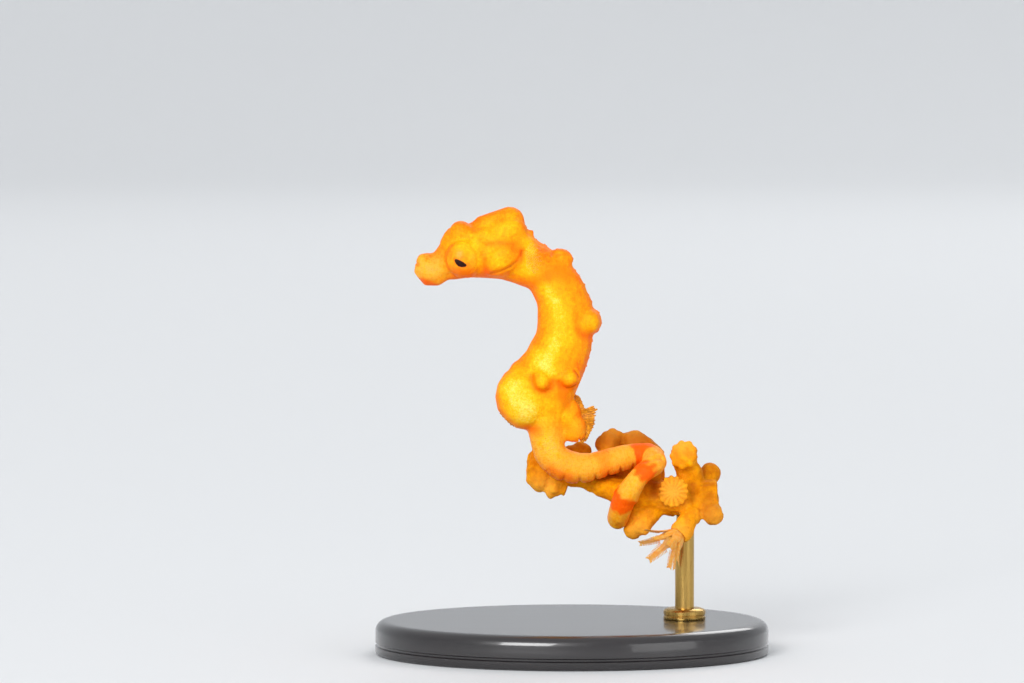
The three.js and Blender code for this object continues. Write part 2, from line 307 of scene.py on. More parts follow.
def clay_lump(name, parts, voxel, passes):
    """Join swollen parts into one closed skin, take the swelling back and smooth it."""
    lump = join(name, parts)
    modifier(lump, "DISPLACE", mid_level=0.0, strength=SWELL)
    modifier(lump, "REMESH", mode="VOXEL", voxel_size=voxel)
    modifier(lump, "DISPLACE", mid_level=0.0, strength=-SWELL)
    modifier(lump, "SMOOTH", factor=0.5, iterations=passes)
    print(name, "has", len(lump.data.vertices), "corners")
    return lump


# %% [markdown]
# The soft forms come from the living animal: a raised lid round each eye, full cheeks, a crown
# that swells to both sides, and the rounder places of the back and belly. Each is a ball with a
# place, three half sizes and a turn. A form in the middle of the body has one ball, and any other
# has one on each flank.

# %% Soft forms
EYE = Vector((-3.85, 0.56, 14.1))
LID_SIZE = (0.66, 0.42, 0.66)
SOFT_FORMS = (
    ((-4.98, 0, 13.36), (0.24, 0.36, 0.24), 30),
    ((-5.28, 0, 14.08), (0.2, 0.26, 0.18)),
    ((-4.15, 0, 13.82), (0.75, 0.5, 0.4)),
    ((-3.45, 0, 14.9), (0.5, 0.38, 0.48), -30),
    ((-2.55, 0, 15.02), (0.92, 0.44, 0.74), -18),
    ((-1.74, 0, 14.84), (0.45, 0.3, 0.32), 40),
    ((-1.05, 0, 14.27), (0.55, 0.36, 0.3), 38),
    ((-0.4, 0, 13.84), (0.4, 0.42, 0.44), -30),
    ((0.3, 0, 12.3), (0.42, 0.5, 0.62), 8),
    ((0.6, 0, 11.85), (0.46, 0.46, 0.5)),
    ((0.3, 0, 11.95), (0.5, 0.6, 0.75)),
    ((-1.66, 0, 9.95), (0.6, 0.6, 0.6)),
    ((0.05, 0, 7.87), (0.42, 0.4, 0.33), 10),
    ((-0.04, 0, 8.62), (0.36, 0.38, 0.52), -14),
    ((0.1, 0, 8.1), (0.4, 0.4, 0.45)),
    ((-2.12, 0, 8.52), (0.42, 0.36, 0.28), 38),
    ((-3.2, 0.4, 14.72), (0.6, 0.36, 0.46), -20),
    ((-3.92, 0.26, 14.92), (0.45, 0.34, 0.5), -20),
    ((-2.35, 0.26, 15.02), (0.72, 0.42, 0.55), -15),
    ((-4.56, 0.4, 14.22), (0.1, 0.1, 0.09)),
    (EYE, LID_SIZE),
    ((-4.4, 0, 15.0), (0.09, 0.05, 0.2), 24),
    ((-1.46, 0, 14.98), (0.1, 0.04, 0.13), 20),
    ((-1.42, 0.5, 14.1), (0.42, 0.24, 0.5), -18),
    ((-4.98, 0.3, 13.62), (0.34, 0.24, 0.3), 20),
    ((-1.06, 0.62, 9.78), (0.4, 0.34, 0.5)),
    ((-0.1, 0.5, 9.9), (0.42, 0.34, 0.46)),
    ((-0.42, 0.1, 14.05), (0.46, 0.3, 0.38)),
)


def clay_form(place, size, turn=0.0):
    """One ball where y is zero, and otherwise the same ball on both flanks."""
    x, y, z = place
    return [clay_ball((x, side * y, z), size, turn) for side in ((-1, 1) if y else (0,))]


soft_forms = [ball for form in SOFT_FORMS for ball in clay_form(*form)]
lengths = [clay_copy(node) for node in FLESH]
skin = clay_lump("seahorse_skin", lengths + soft_forms, voxel=0.032, passes=40)

# %% [markdown]
# ## Along the body
#
# Rings, bands and wrinkles follow the body, not the axes of the world. A smooth line of points from
# the snout to the tip of the tail gives every corner of the skin its distance along the body. The
# nearest point of the line is found with a k-d tree, which is a quick index of places.

# %% Along the body
SPINE = [
    # snout and head
    (-5.55, 0, 13.79), (-4.97, 0, 13.72), (-4.22, 0, 13.88), (-3.48, 0, 14.13), (-2.52, 0, 14.32),
    # neck
    (-1.46, 0, 14.0), (-0.92, 0, 13.6), (-0.53, 0, 13.06), (-0.3, 0, 12.46),
    # trunk
    (-0.25, 0, 11.79), (-0.37, 0, 11.11), (-0.62, 0, 10.44),
    (-0.85, 0, 9.69), (-0.98, 0, 8.95), (-0.94, 0, 8.2),
    # root of the tail
    (-0.87, 0, 7.6), (-0.71, 0, 7.08), (-0.37, 0, 6.77), (0.07, 0, 6.65), (0.6, 0, 6.66),
    # first stretch of the tail, and its bend
    (1.17, 0.05, 6.8), (1.77, 0.12, 6.96), (2.33, 0.19, 7.08),
    (2.81, -0.01, 7.07), (2.94, -0.46, 6.84),
    # the way back down to the twig
    (2.64, -0.85, 6.57), (2.15, -0.92, 6.06), (1.84, -0.69, 5.57), (1.7, -0.45, 5.14),
    # the grip round the twig
    (1.63, -0.05, 4.89), (1.62, 0.42, 4.85), (1.68, 0.83, 5.07),
    (1.76, 1.06, 5.45), (1.84, 1.05, 5.88),
]
SPINE_STEPS = 16


def smooth_line(points, steps):
    """A Catmull-Rom curve through the points, with this many steps from one to the next."""
    knots = np.array([points[0], *points, points[-1]], float)
    t = np.linspace(0, 1, steps, endpoint=False)[:, None]
    spans = []
    for a, b, c, d in zip(knots, knots[1:], knots[2:], knots[3:]):
        bend = (2 * a - 5 * b + 4 * c - d) * t**2 + (3 * b - a - 3 * c + d) * t**3
        spans.append(0.5 * (2 * b + (c - a) * t + bend))
    return np.vstack([*spans, knots[-1:]])


spine = smooth_line(SPINE, SPINE_STEPS)
spine_along = np.concatenate([[0], np.cumsum(np.linalg.norm(np.diff(spine, axis=0), axis=1))])
print("the body is", round(float(spine_along[-1]), 1), "mm long along its middle")


def nearest_of(line, places):
    """The index of the nearest point of a line for every place."""
    tree = kdtree.KDTree(len(line))
    for index, point in enumerate(line):
        tree.insert(point, index)
    tree.balance()
    return np.array([tree.find(place)[1] for place in places])


def corners_of(piece):
    """The places and the normals of a mesh's corners, as two tables."""
    count = len(piece.data.vertices)
    places, normals = np.empty(count * 3), np.empty(count * 3)
    piece.data.vertices.foreach_get("co", places)
    piece.data.vertex_normals.foreach_get("vector", normals)
    return places.reshape(-1, 3), normals.reshape(-1, 3)


def move_corners(piece, places):
    """Put a mesh's corners at new places."""
    piece.data.vertices.foreach_set("co", places.ravel())
    piece.data.update()


# %% [markdown]
# ## Carving
#
# Sculpt brushes need a hand and a window, so each stroke is written down instead: a line of points
# as seen from the side, how wide the tool is, and how deep it goes. The corners near the line move
# along their own normals, most at its middle. A negative depth lays clay on. Strokes on the head
# and trunk count on both flanks; on the tail, where stretches cross, they are lines in space.

# %% Carving tools
STROKE_STEPS = 5
FLANK_EDGE = 2.5


def line_distance(places, line):
    """The distance of every place from a line of points, in as many axes as the points have."""
    best = np.full(len(places), np.inf)
    line = [np.array(point, float) for point in line]
    for a, b in zip(line, line[1:] or line):
        span = b - a
        share = np.clip((places - a) @ span / max(span @ span, 1e-12), 0, 1)
        best = np.minimum(best, np.linalg.norm(places - a - share[:, None] * span, axis=1))
    return best


def soft(distance, width):
    """One at the middle of a stroke, and a third at its width."""
    return np.exp(-((distance / width) ** 2))


def rise(values, low, high):
    """A soft step from zero at low to one at high."""
    share = np.clip((values - low) / (high - low), 0, 1)
    return share * share * (3 - 2 * share)


class Flesh:
    """The skin's corners, with what is known about each."""

    def __init__(self, piece):
        self.piece = piece
        self.measure()

    def measure(self):
        self.places, self.normals = corners_of(self.piece)
        nearest = nearest_of(spine, self.places)
        self.along = spine_along[nearest]
        self.outwards = self.places - spine[nearest]
        self.flank = np.clip(np.abs(self.normals[:, 1]) * FLANK_EDGE, 0, 1)

    def profile(self, line, width):
        """How near the corners are to a line seen from the side, all round the body."""
        return soft(line_distance(self.places[:, (0, 2)], line), width)

    def side(self, line, width):
        """The same on the two flanks only, with the line's corners rounded."""
        line = smooth_line(line, STROKE_STEPS) if len(line) > 2 else line
        return self.profile(line, width) * self.flank

    def space(self, line, width):
        """How near the corners are to a line in space."""
        return soft(line_distance(self.places, line), width)

    def carve(self, nearness, depth):
        """Cut in by this depth where nearness is one, and lay clay on where depth is negative."""
        self.places -= self.normals * (nearness * depth)[:, None]

    def carve_strokes(self, nearness, strokes):
        """Carve strokes of a line, a width and a depth."""
        for line, width, depth in strokes:
            self.carve(nearness(line, width), depth)

    def settle(self):
        """Write the corners back to the mesh and measure it anew."""
        move_corners(self.piece, self.places)
        self.measure()


flesh = Flesh(skin)

# %% [markdown]
# First the broad forms. The throat and the chest are a little slimmer than the solids, the snout
# has a waist behind its flared tip, and the cover of the gills is a rounded plate. The end of the
# tail, where it grips, is stouter.

# %% Broad forms
PROFILE_FORMS = (
    ([(-1.45, 12.95), (-1.22, 12.6)], 0.3, 0.09),
    ([(-1.75, 10.95), (-1.45, 11.45)], 0.35, 0.12),
    ([(-4.42, 13.42), (-4.4, 13.3)], 0.2, 0.05),
    ([(-2.5, 14.15), (-2.35, 14.4)], 0.42, -0.08),
    ([(-3.05, 14.35), (-3.0, 14.6)], 0.16, 0.05),
    ([(-1.75, 14.5), (-1.5, 14.2), (-1.45, 13.8)], 0.25, 0.04),
    ([(-2.3, 15.05), (-2.05, 15.15)], 0.35, -0.05),
    ([(-5.5, 14.0), (-5.35, 13.5)], 0.16, -0.03),
)
GRIP_FORMS = (
    ([(1.85, -0.75, 5.6), (1.7, -0.55, 5.1), (1.63, -0.2, 4.7)], 0.45, -0.06),
    ([(1.63, -0.1, 4.6), (1.63, 0.2, 4.5)], 0.3, -0.06),
    ([(3.05, -0.85, 6.35), (2.75, -1.0, 6.05)], 0.3, 0.16),
    ([(2.25, -0.9, 6.95), (2.7, -1.0, 7.05), (3.2, -0.7, 7.05)], 0.09, 0.09),
    ([(1.42, -0.75, 5.88)], 0.14, -0.05),
    ([(2.3, -0.75, 5.5)], 0.14, -0.05),
)
flesh.carve_strokes(flesh.profile, PROFILE_FORMS)
flesh.carve_strokes(flesh.space, GRIP_FORMS)
flesh.settle()
print("throat, chest, snout, gill covers and grip carved")

# %% [markdown]
# Then the creases. The slit behind the gill cover, the fold round each eye, the folds under the
# knobs of the flanks and the line of the mouth are narrow cuts. A knob stands out because the
# skin swells on one side of its fold, so each fold has a softer stroke of clay beside it. The
# ridge of the back is finely ragged, and a sum of two waves along the body gives its teeth. The
# mouth is a short slit between two soft lips.

# %% Creases and knobs
GILL_SLIT = [
    (-2.89, 13.58), (-2.53, 13.67), (-2.17, 13.85), (-1.95, 14.02), (-1.81, 14.2), (-1.78, 14.38)
]
FRONT_KNOB_FOLD = [
    (-1.42, 9.94), (-1.38, 9.7), (-1.28, 9.51), (-1.02, 9.4), (-0.76, 9.52), (-0.68, 9.8)
]
REAR_KNOB_FOLD = [(-0.47, 9.73), (-0.36, 9.6), (-0.2, 9.54), (-0.04, 9.55), (0.13, 9.64)]
REAR_KNOB_EDGE = [(0.09, 10.14), (0.18, 10.02), (0.23, 9.91)]
MOUTH_CORNER = [(-5.56, 13.92), (-5.42, 13.84), (-5.34, 13.74)]
MOUTH = [
    (-5.46, -0.24, 13.87), (-5.54, -0.12, 13.92), (-5.57, 0, 13.94),
    (-5.54, 0.12, 13.92), (-5.46, 0.24, 13.87),
]
NAPE_FOLD = [(-0.72, 14.28), (-0.4, 14.22), (-0.12, 14.25)]
BACK_KNOB_FOLD = [(0.3, 12.05), (0.22, 11.8), (0.35, 11.45), (0.6, 11.33)]
LIPS_AND_SLIT = ((MOUTH, 0.11, -0.015), (MOUTH, 0.036, 0.05))
RIDGE_WIDTH = 0.09
RIDGE_HEIGHT = 0.02
RIDGE_STARTS = (3.3, 3.7)
RIDGE_ENDS = (8.2, 8.6)
LONG_TEETH, SHORT_TEETH = 26, 43
RING_POINTS = 40


def ring(middle, reach, start=0, stop=360):
    """Points on a part of a circle, seen from the side; angles are in degrees."""
    turns = np.radians(np.linspace(start, stop, RING_POINTS))
    return [(middle[0] + reach * math.cos(a), middle[1] + reach * math.sin(a)) for a in turns]


eye_side = (EYE.x, EYE.z)
FOLDS = (
    (GILL_SLIT, 0.055, 0.045),
    (FRONT_KNOB_FOLD, 0.13, 0.042),
    (REAR_KNOB_FOLD, 0.08, 0.055),
    (REAR_KNOB_EDGE, 0.05, 0.05),
    (BACK_KNOB_FOLD, 0.2, 0.06),
    (MOUTH_CORNER, 0.05, 0.02),
    (NAPE_FOLD, 0.08, 0.03),
    (ring(eye_side, 0.7), 0.08, 0.03),
    ([(-1.08, 9.98), (-1.03, 9.72)], 0.34, -0.09),
    ([(-0.14, 9.87)], 0.35, -0.08),
    ([(-4.6, 13.45), (-4.35, 13.5)], 0.1, 0.03),
    ([(-3.6, 14.82), (-3.2, 14.75), (-2.9, 14.6)], 0.08, 0.03),
)
flesh.carve_strokes(flesh.side, FOLDS)
teeth = np.sin(flesh.along * LONG_TEETH) + 0.7 * np.sin(flesh.along * SHORT_TEETH + 1)
on_back = flesh.outwards[:, 0] + flesh.outwards[:, 2] > 0
ridge = soft(flesh.places[:, 1], RIDGE_WIDTH) * on_back
ridge *= rise(flesh.along, *RIDGE_STARTS) * (1 - rise(flesh.along, *RIDGE_ENDS))
flesh.carve(ridge * np.clip(teeth, 0, None), -RIDGE_HEIGHT)
flesh.carve_strokes(flesh.space, LIPS_AND_SLIT)
flesh.settle()
print("folds, knobs, ridge and mouth carved")

# %% [markdown]
# The bony rings of the tail show as low steps, deepest on the underside. They repeat every 0.46 mm
# along the body, so they are cut by a wave on the distance along it.

# %% Rings of the tail
RING_PITCH = 0.46
RING_STEP = 0.01
RING_NOTCH = 0.1
TAIL_START = 11.4
FIRST_STRETCH_ENDS = (14.7, 15.3)

tail = rise(flesh.along, TAIL_START, TAIL_START + 1.0)
wave = np.abs(np.sin(math.pi * flesh.along / RING_PITCH))
under = np.clip((-flesh.normals[:, 2] - 0.4) * 2.2, 0, 1)
flesh.carve(tail * (1 - wave) ** 1.6, RING_STEP)
first_stretch = 1 - rise(flesh.along, *FIRST_STRETCH_ENDS)
flesh.carve(tail * under * first_stretch * (1 - wave) ** 3, RING_NOTCH)
flesh.settle()
print("tail ring count:", int((spine_along[-1] - TAIL_START) / RING_PITCH))

# %% [markdown]
# The voxels are finer than the flat places need. A decimate keeps the corners where the skin bends
# and thins them elsewhere, which brings the piece under 200,000 triangles.

# %% Thin the mesh
SKIN_TRIANGLES = 186000
triangle_count = triangles_of(skin)
modifier(skin, "DECIMATE", ratio=SKIN_TRIANGLES / triangle_count)
bpy.ops.object.shade_smooth()
flesh.measure()
print("skin thinned from", triangle_count, "triangles to about", SKIN_TRIANGLES)

# %% [markdown]
# ## Skin tones
#
# A live pygmy seahorse matches its sea fan: orange and yellow, with deep orange bands round the
# tail. Here the flanks are yellow and the back and the keel orange, because the skin that faces to
# the side is painted yellower as painted light; the keel also gets painted shade. The tones are
# painted as soft strokes, as the carving was, into named attributes: blush for deep orange and for
# painted shade under the knobs and round the eye, pale for yellow and for painted highlights, and
# crease for the painted shade in the folds. The tail has two more: peach for its milder ground, and
# lines for how strongly fine lines show round it. They follow the distance along the body, which is
# stored too. A material reads an attribute wherever the corner goes.

# %% Painting tools
def keep_tone(piece, name, values):
    """Store one number for every corner under a name that a material can read."""
    tone = piece.data.attributes.new(name, "FLOAT", "POINT")
    tone.data.foreach_set("value", np.clip(values, 0, None).astype(np.float32))


def painted(strokes, tool):
    """Many strokes laid over each other; each is a line, a width and a strength."""
    bare = 1.0
    for line, width, strength in strokes:
        bare = bare * (1 - np.clip(tool(line, width) * strength, 0, 1))
    return 1 - bare


# %% Skin tones
# Pale strokes: the skin's yellow, with painted highlights where the light falls most on the head, the
# trunk and the belly.
pale_and_highlight_strokes = [
    ([(-3.95, 14.62), (-3.6, 14.66)], 0.32, 0.6),
    ([(-2.9, 15.0), (-2.2, 15.3)], 0.42, 0.55),
    ([(-2.84, 14.4)], 0.25, 0.35),
    ([(-5.35, 13.9), (-5.0, 13.65), (-4.75, 13.6)], 0.32, 0.85),
    ([(-1.6, 13.74), (-1.75, 14.05)], 0.28, 0.7),
    ([(-1.75, 14.9), (-1.6, 14.4)], 0.18, 0.45),
    ([(-2.3, 13.95), (-2.6, 13.9)], 0.25, 0.5),
    ([(-0.95, 13.1), (-0.75, 12.7)], 0.3, 0.5),
    ([(-0.71, 12.9), (-0.55, 12.14), (-0.25, 11.47)], 0.42, 0.5),
    ([(-0.62, 11.2), (-0.9, 10.6), (-1.24, 10.69), (-0.85, 10.15)], 0.34, 0.8),
    ([(-2.12, 9.5), (-1.97, 9.0), (-1.75, 8.7)], 0.66, 1.0),
    ([(-1.6, 8.6)], 0.45, 0.6),
    ([(-0.43, 8.55), (-0.35, 8.9)], 0.3, 0.5),
    ([(-0.85, 7.7), (-0.6, 7.4)], 0.42, 0.55),
    ([(-1.04, 9.75)], 0.2, 0.5),
    ([(-0.04, 9.95)], 0.2, 0.4),
    ([(0.85, 11.75)], 0.26, 0.3),
    ([(-3.55, 14.2), (-3.42, 13.98)], 0.24, 0.6),
    ([(-3.95, 14.5), (-3.5, 14.5)], 0.2, 0.35),
    ([(-2.7, 14.05)], 0.28, 0.5),
    ([(-1.5, 14.75), (-1.45, 14.3)], 0.14, 0.5),
]
# Blush strokes: deep orange marks, and painted shade under the knobs and the tubercle of the back,
# below the eye and along the lower edges of the head and the belly.
blush_and_shade_strokes = [
    ([(-4.37, 13.38), (-3.12, 13.42), (-2.09, 13.2), (-1.31, 12.7)], 0.14, 0.5),
    ([(-3.12, 13.6)], 0.26, 0.45),
    ([(-5.3, 13.3), (-4.85, 13.1)], 0.14, 0.9),
    ([(-3.0, 14.62), (-2.6, 14.66), (-2.1, 14.62)], 0.16, 0.5),
    ([(-1.85, 14.35), (-1.81, 14.0)], 0.16, 0.35),
    (GILL_SLIT, 0.14, 0.45),
    ([(-0.6, 13.7), (-0.2, 13.5)], 0.38, 0.42),
    ([(-1.3, 13.3), (-0.9, 13.45)], 0.25, 0.45),
    ([(0.1, 11.9), (0.3, 11.95)], 0.18, 0.35),
    ([(0.2, 11.6), (0.36, 11.4), (0.6, 11.33)], 0.18, 0.6),
    (FRONT_KNOB_FOLD, 0.15, 0.55),
    (REAR_KNOB_FOLD, 0.16, 0.6),
    (REAR_KNOB_EDGE, 0.1, 0.45),
    ([(-0.35, 9.23), (-0.2, 8.9)], 0.3, 0.5),
    ([(-1.42, 7.99), (-1.6, 8.1)], 0.18, 0.3),
    ([(-2.7, 9.3), (-2.6, 8.8), (-2.35, 8.4), (-1.9, 8.1), (-1.4, 8.05)], 0.2, 0.5),
    ([(0.39, 8.27), (0.3, 8.6)], 0.2, 0.35),
    (ring(eye_side, 0.62, 130, 215), 0.06, 0.5),
    ([(-4.15, 13.66), (-3.6, 13.56)], 0.18, 0.5),
    ([(-3.1, 14.1), (-3.05, 13.7)], 0.14, 0.45),
    ([(-3.55, 15.4), (-2.7, 15.75)], 0.16, 0.35),
    ([(-3.75, 15.2), (-3.5, 15.1)], 0.14, 0.3),
    ([(-0.15, 8.1), (0.1, 7.9)], 0.28, 0.4),
    ([(-1.15, 8.05), (-1.1, 7.85)], 0.22, 0.4),
    ([(-0.75, 13.15), (-0.3, 12.7)], 0.22, 0.25),
]
# Crease strokes: painted shade in the gill slit and in the folds under the knobs and the nape.
crease_shade_strokes = [
    (GILL_SLIT[:3], 0.03, 0.45),
    (GILL_SLIT[2:4], 0.035, 0.35),
    (GILL_SLIT[4:], 0.03, 0.4),
    (REAR_KNOB_FOLD[2:], 0.025, 0.5),
    (REAR_KNOB_EDGE, 0.022, 0.45),
    (FRONT_KNOB_FOLD[2:5], 0.05, 0.2),
    (NAPE_FOLD, 0.04, 0.15),
]
blush_and_shade = painted(blush_and_shade_strokes, flesh.side)
pale = painted(pale_and_highlight_strokes, flesh.side)
crease_shade = painted(crease_shade_strokes, flesh.side)
# The slit of the mouth gets painted shade, and deep orange round it.
crease_shade = np.maximum(crease_shade, 0.5 * flesh.space(MOUTH, 0.04))
blush_and_shade = np.maximum(blush_and_shade, 0.5 * flesh.space(MOUTH, 0.12))
print(len(pale_and_highlight_strokes), "pale,", len(blush_and_shade_strokes), "blush,", len(crease_shade_strokes), "crease strokes")

# %% [markdown]
# The bands of the tail are laid by distance along the body. The outside of its first bend is
# painted a deeper orange, and its keel, the skin that faces down, gets painted shade of deep
# orange. The back stays orange too, because the yellow is painted light, laid by how far the skin
# faces to the side.

# %% Bands and flanks
TAIL_BANDS = (
    (13.72, 0.26, 0.35), (15.22, 0.36, 0.95), (16.74, 0.22, 0.95), (18.0, 0.28, 1.0),
    (19.65, 0.34, 0.85),
)

sway = 0.05 * np.sin(flesh.places @ (7, 9, 5)) + 0.03 * np.sin(flesh.places @ (-13, 6, 15))


def band(middle, half_length):
    """A band round the body about this distance along it, with a swaying edge."""
    return rise(np.abs(flesh.along + sway - middle), half_length * 1.5, half_length * 0.6)


bands = painted(TAIL_BANDS, band)
outer_bend = flesh.space([(-0.85, 0, 6.55), (-0.5, 0, 6.2), (0.0, 0, 6.05)], 0.44)
outer_bend = np.maximum(outer_bend, flesh.side([(-0.75, 6.6), (-0.48, 6.4), (-0.15, 6.32)], 0.28))
outer_bend = np.maximum(outer_bend, 0.45 * flesh.side([(-0.35, 6.75), (-0.15, 6.85)], 0.3))
on_tail = rise(flesh.along, 10.0, TAIL_START)
first_stretch = 1 - rise(flesh.along, *FIRST_STRETCH_ENDS)
# Painted shade: the first stretch's skin that faces down turns deeper orange.
keel_shade = np.clip(-flesh.normals[:, 2], 0, 1) ** 2 * on_tail * first_stretch
blush_and_shade = 1 - (1 - blush_and_shade) * (1 - bands) * (1 - 0.55 * outer_bend) * (1 - 0.45 * keel_shade)
# Painted light: skin that faces to the side is painted paler and yellower, most on the trunk.
side_light = np.abs(flesh.normals[:, 1]) ** 1.8
on_trunk = rise(flesh.along, 5.0, 6.2)
pale = 0.62 * pale + side_light * (0.3 + 0.12 * on_trunk) + 0.2 * on_tail
pale *= 1 - 0.9 * bands
peach = 0.75 * on_tail * (1 - 0.8 * bands) * (1 - 0.5 * rise(flesh.along, 18.2, 18.8))
peach *= 1 - flesh.side([(-0.1, 8.4), (0.0, 7.9)], 0.4)
peach += flesh.side([(-5.5, 13.8), (-4.9, 13.7)], 0.45)
lines = on_tail * (1 - 0.6 * bands) * (1 - 0.7 * rise(flesh.along, 15.5, 16.5))
tones = {"blush_and_shade": blush_and_shade, "pale": pale, "crease_shade": crease_shade, "peach": peach, "lines": lines}
for name, values in {**tones, "along": flesh.along}.items():
    keep_tone(skin, name, values)
print("tones: blush", round(float(blush_and_shade.mean()), 2), "pale", round(float(pale.mean()), 2))

# %% [markdown]
# ## The skin's finish
#
# Wet living skin lets light in: it glows from below and has a soft gloss on top. The shader mixes
# orange, yellow, deep orange and brown by the painted tones, which carry painted highlights and
# painted shade as well as the skin's own colours. Noise breaks up the edges of every tone into
# blotches, and finer noise makes pale speckles and the pebbles of the skin. Noise reads Object
# coordinates, which are metres here, so a scale of 3200 gives blotches of about a third of a
# millimetre. A noise wavers about a half, and `swing` turns it into one that wavers about zero.

# %% Node tools
def linear(hex_colour):
    """A colour for a shader from the usual six digits."""
    values = [int(hex_colour[i : i + 2], 16) / 255 for i in (0, 2, 4)]
    return (*[v / 12.92 if v <= 0.04045 else ((v + 0.055) / 1.055) ** 2.4 for v in values], 1)


class Finish:
    """A material and short ways to add nodes to it."""

    def __init__(self, name):
        self.material = bpy.data.materials.new(name)
        self.material.use_nodes = True
        self.tree = self.material.node_tree
        self.shader = self.tree.nodes["Principled BSDF"]
        self.object_place = self.node("ShaderNodeTexCoord").outputs["Object"]

    def node(self, kind, inputs=None, **settings):
        made = self.tree.nodes.new(kind)
        for name, value in settings.items():
            setattr(made, name, value)
        for name, value in (inputs or {}).items():
            self.feed(made.inputs[name], value)
        return made

    def feed(self, socket, value):
        """Link a socket to another one, or set it to a number or to a colour in six digits."""
        if isinstance(value, bpy.types.NodeSocket):
            self.tree.links.new(value, socket)
        else:
            socket.default_value = linear(value) if isinstance(value, str) else value

    def set(self, **inputs):
        for name, value in inputs.items():
            self.feed(self.shader.inputs[name.replace("_", " ")], value)

    def tone(self, name):
        return self.node("ShaderNodeAttribute", attribute_name=name).outputs["Fac"]

    def noise(self, scale, detail=2.0, roughness=0.5, place=None):
        inputs = {"Scale": scale, "Detail": detail, "Roughness": roughness}
        inputs["Vector"] = place or self.object_place
        return self.node("ShaderNodeTexNoise", inputs).outputs["Fac"]

    def math(self, operation, *values):
        return self.node("ShaderNodeMath", dict(enumerate(values)), operation=operation).outputs[0]

    def times(self, a, b):
        return self.math("MULTIPLY", a, b)

    def plus(self, total, *others):
        for other in others:
            total = self.math("ADD", total, other)
        return total

    def swing(self, noise, reach):
        """Turn a noise about a half into one about zero that swings this far."""
        return self.math("MULTIPLY_ADD", noise, 2 * reach, -reach)

    def spread(self, value, low, high):
        """Stretch the part of a value between low and high to zero and one."""
        inputs = {"Value": value, "From Min": low, "From Max": high}
        made = self.node("ShaderNodeMapRange", inputs, interpolation_type="SMOOTHSTEP")
        return made.outputs["Result"]

    def mix(self, share, a, b):
        made = self.node("ShaderNodeMix", data_type="RGBA")
        for socket, value in zip((made.inputs[0], made.inputs[6], made.inputs[7]), (share, a, b)):
            self.feed(socket, value)
        return made.outputs[2]

    def coats(self, colour, *layers):
        """Lay colours over a ground one after the other, each by its own share."""
        for share, tone in layers:
            colour = self.mix(share, colour, tone)
        return colour

    def bump(self, height, distance, strength):
        inputs = {"Height": height, "Distance": distance * MM, "Strength": strength}
        self.set(Normal=self.node("ShaderNodeBump", inputs).outputs["Normal"])


# %% Flesh colour
ORANGE, AMBER, YELLOW, CREAM = "ff7400", "ffa404", "ffc60c", "ffea70"
PEACH, LINE_ORANGE, FRECKLE = "ffae40", "ff8808", "f07c04"
# Deep orange serves the bands and painted shade; the dark brown is the painted shade in the folds.
DEEP_ORANGE, CREASE_SHADE_BROWN = "ff6200", "8c2c08"
LINE_PITCH = 84.0


def flesh_colour(finish):
    """The painted tones broken up by noise, with fine lines round the tail, and pebbles."""
    blotches = finish.noise(3200, 4, 0.6)
    mottle = finish.noise(9000, 2, 0.55)
    specks = finish.noise(26000, 2, 0.55)
    freckles = finish.spread(finish.noise(16000, 3, 0.65), 0.52, 0.68)
    uneven = finish.plus(finish.swing(blotches, 0.24), finish.swing(mottle, 0.32))
    patches = finish.swing(finish.noise(1300, 3, 0.55), 0.3)
    # The pale tone, with its painted highlights, lifts the colour from orange to yellow and cream.
    light = finish.plus(finish.tone("pale"), uneven, patches)
    bright = finish.spread(finish.plus(light, finish.swing(specks, 0.4)), 0.7, 1.4)
    peach_share = finish.times(finish.tone("peach"), finish.spread(uneven, -0.25, 0.12))
    sway = finish.times(mottle, 5.0)
    wave = finish.math("SINE", finish.plus(finish.times(finish.tone("along"), LINE_PITCH), sway))
    line_share = finish.times(finish.spread(wave, 0.0, 1.0), finish.tone("lines"))
    # Deep orange for the bands and for the painted shade in the blush tone.
    deep = finish.plus(finish.tone("blush_and_shade"), finish.times(uneven, 0.6))
    colour = finish.coats(
        ORANGE,
        (finish.spread(light, -0.12, 0.5), AMBER),
        (finish.spread(light, 0.35, 0.9), YELLOW),
        (bright, CREAM),
        (peach_share, PEACH),
        (finish.times(line_share, 0.2), LINE_ORANGE),
        (finish.times(freckles, 0.42), FRECKLE),
        (finish.spread(deep, 0.1, 0.95), DEEP_ORANGE),
        # Painted shade in the folds and the mouth.
        (finish.tone("crease_shade"), CREASE_SHADE_BROWN),
    )
    pebbles = finish.plus(finish.times(specks, 0.5), mottle, blotches)
    return colour, finish.plus(pebbles, finish.times(line_share, -0.12))


def flesh_shine(finish):
    """The glow below the skin and the soft gloss on it."""
    finish.set(IOR=1.4, Subsurface_Weight=0.35, Subsurface_Scale=0.00022)
    finish.set(Subsurface_Radius=(1.0, 0.35, 0.06))


# %% Skin finish
skin_finish = Finish("seahorse_skin")
colour, pebbles = flesh_colour(skin_finish)
skin_finish.bump(pebbles, 0.045, 0.7)
skin_finish.set(Base_Color=colour, Roughness=0.46, Specular_IOR_Level=0.15)
flesh_shine(skin_finish)
finish_piece(skin, FLESH, skin_finish.material)

# %% [markdown]
# ## The eyes
#
# Each eye is a dome that turns on its own, like a chameleon's. It has the skin's own tones,
# painted by the same strokes, so only the dark leaf of the pupil stands out. A ball is added at
# the place of the eye, and its skin is raised a little over the pupil, as the clear cornea is. The
# pupil is drawn by the material: a Mapping node puts the middle of the pattern on it and turns it,
# and a curve with one flatter side makes the leaf.

# %% The pupil
PUPIL = (-3.945, 13.975)
PUPIL_TILT = 28
PUPIL_HALF = (0.235, 0.105)
PUPIL_SAG = 0.35

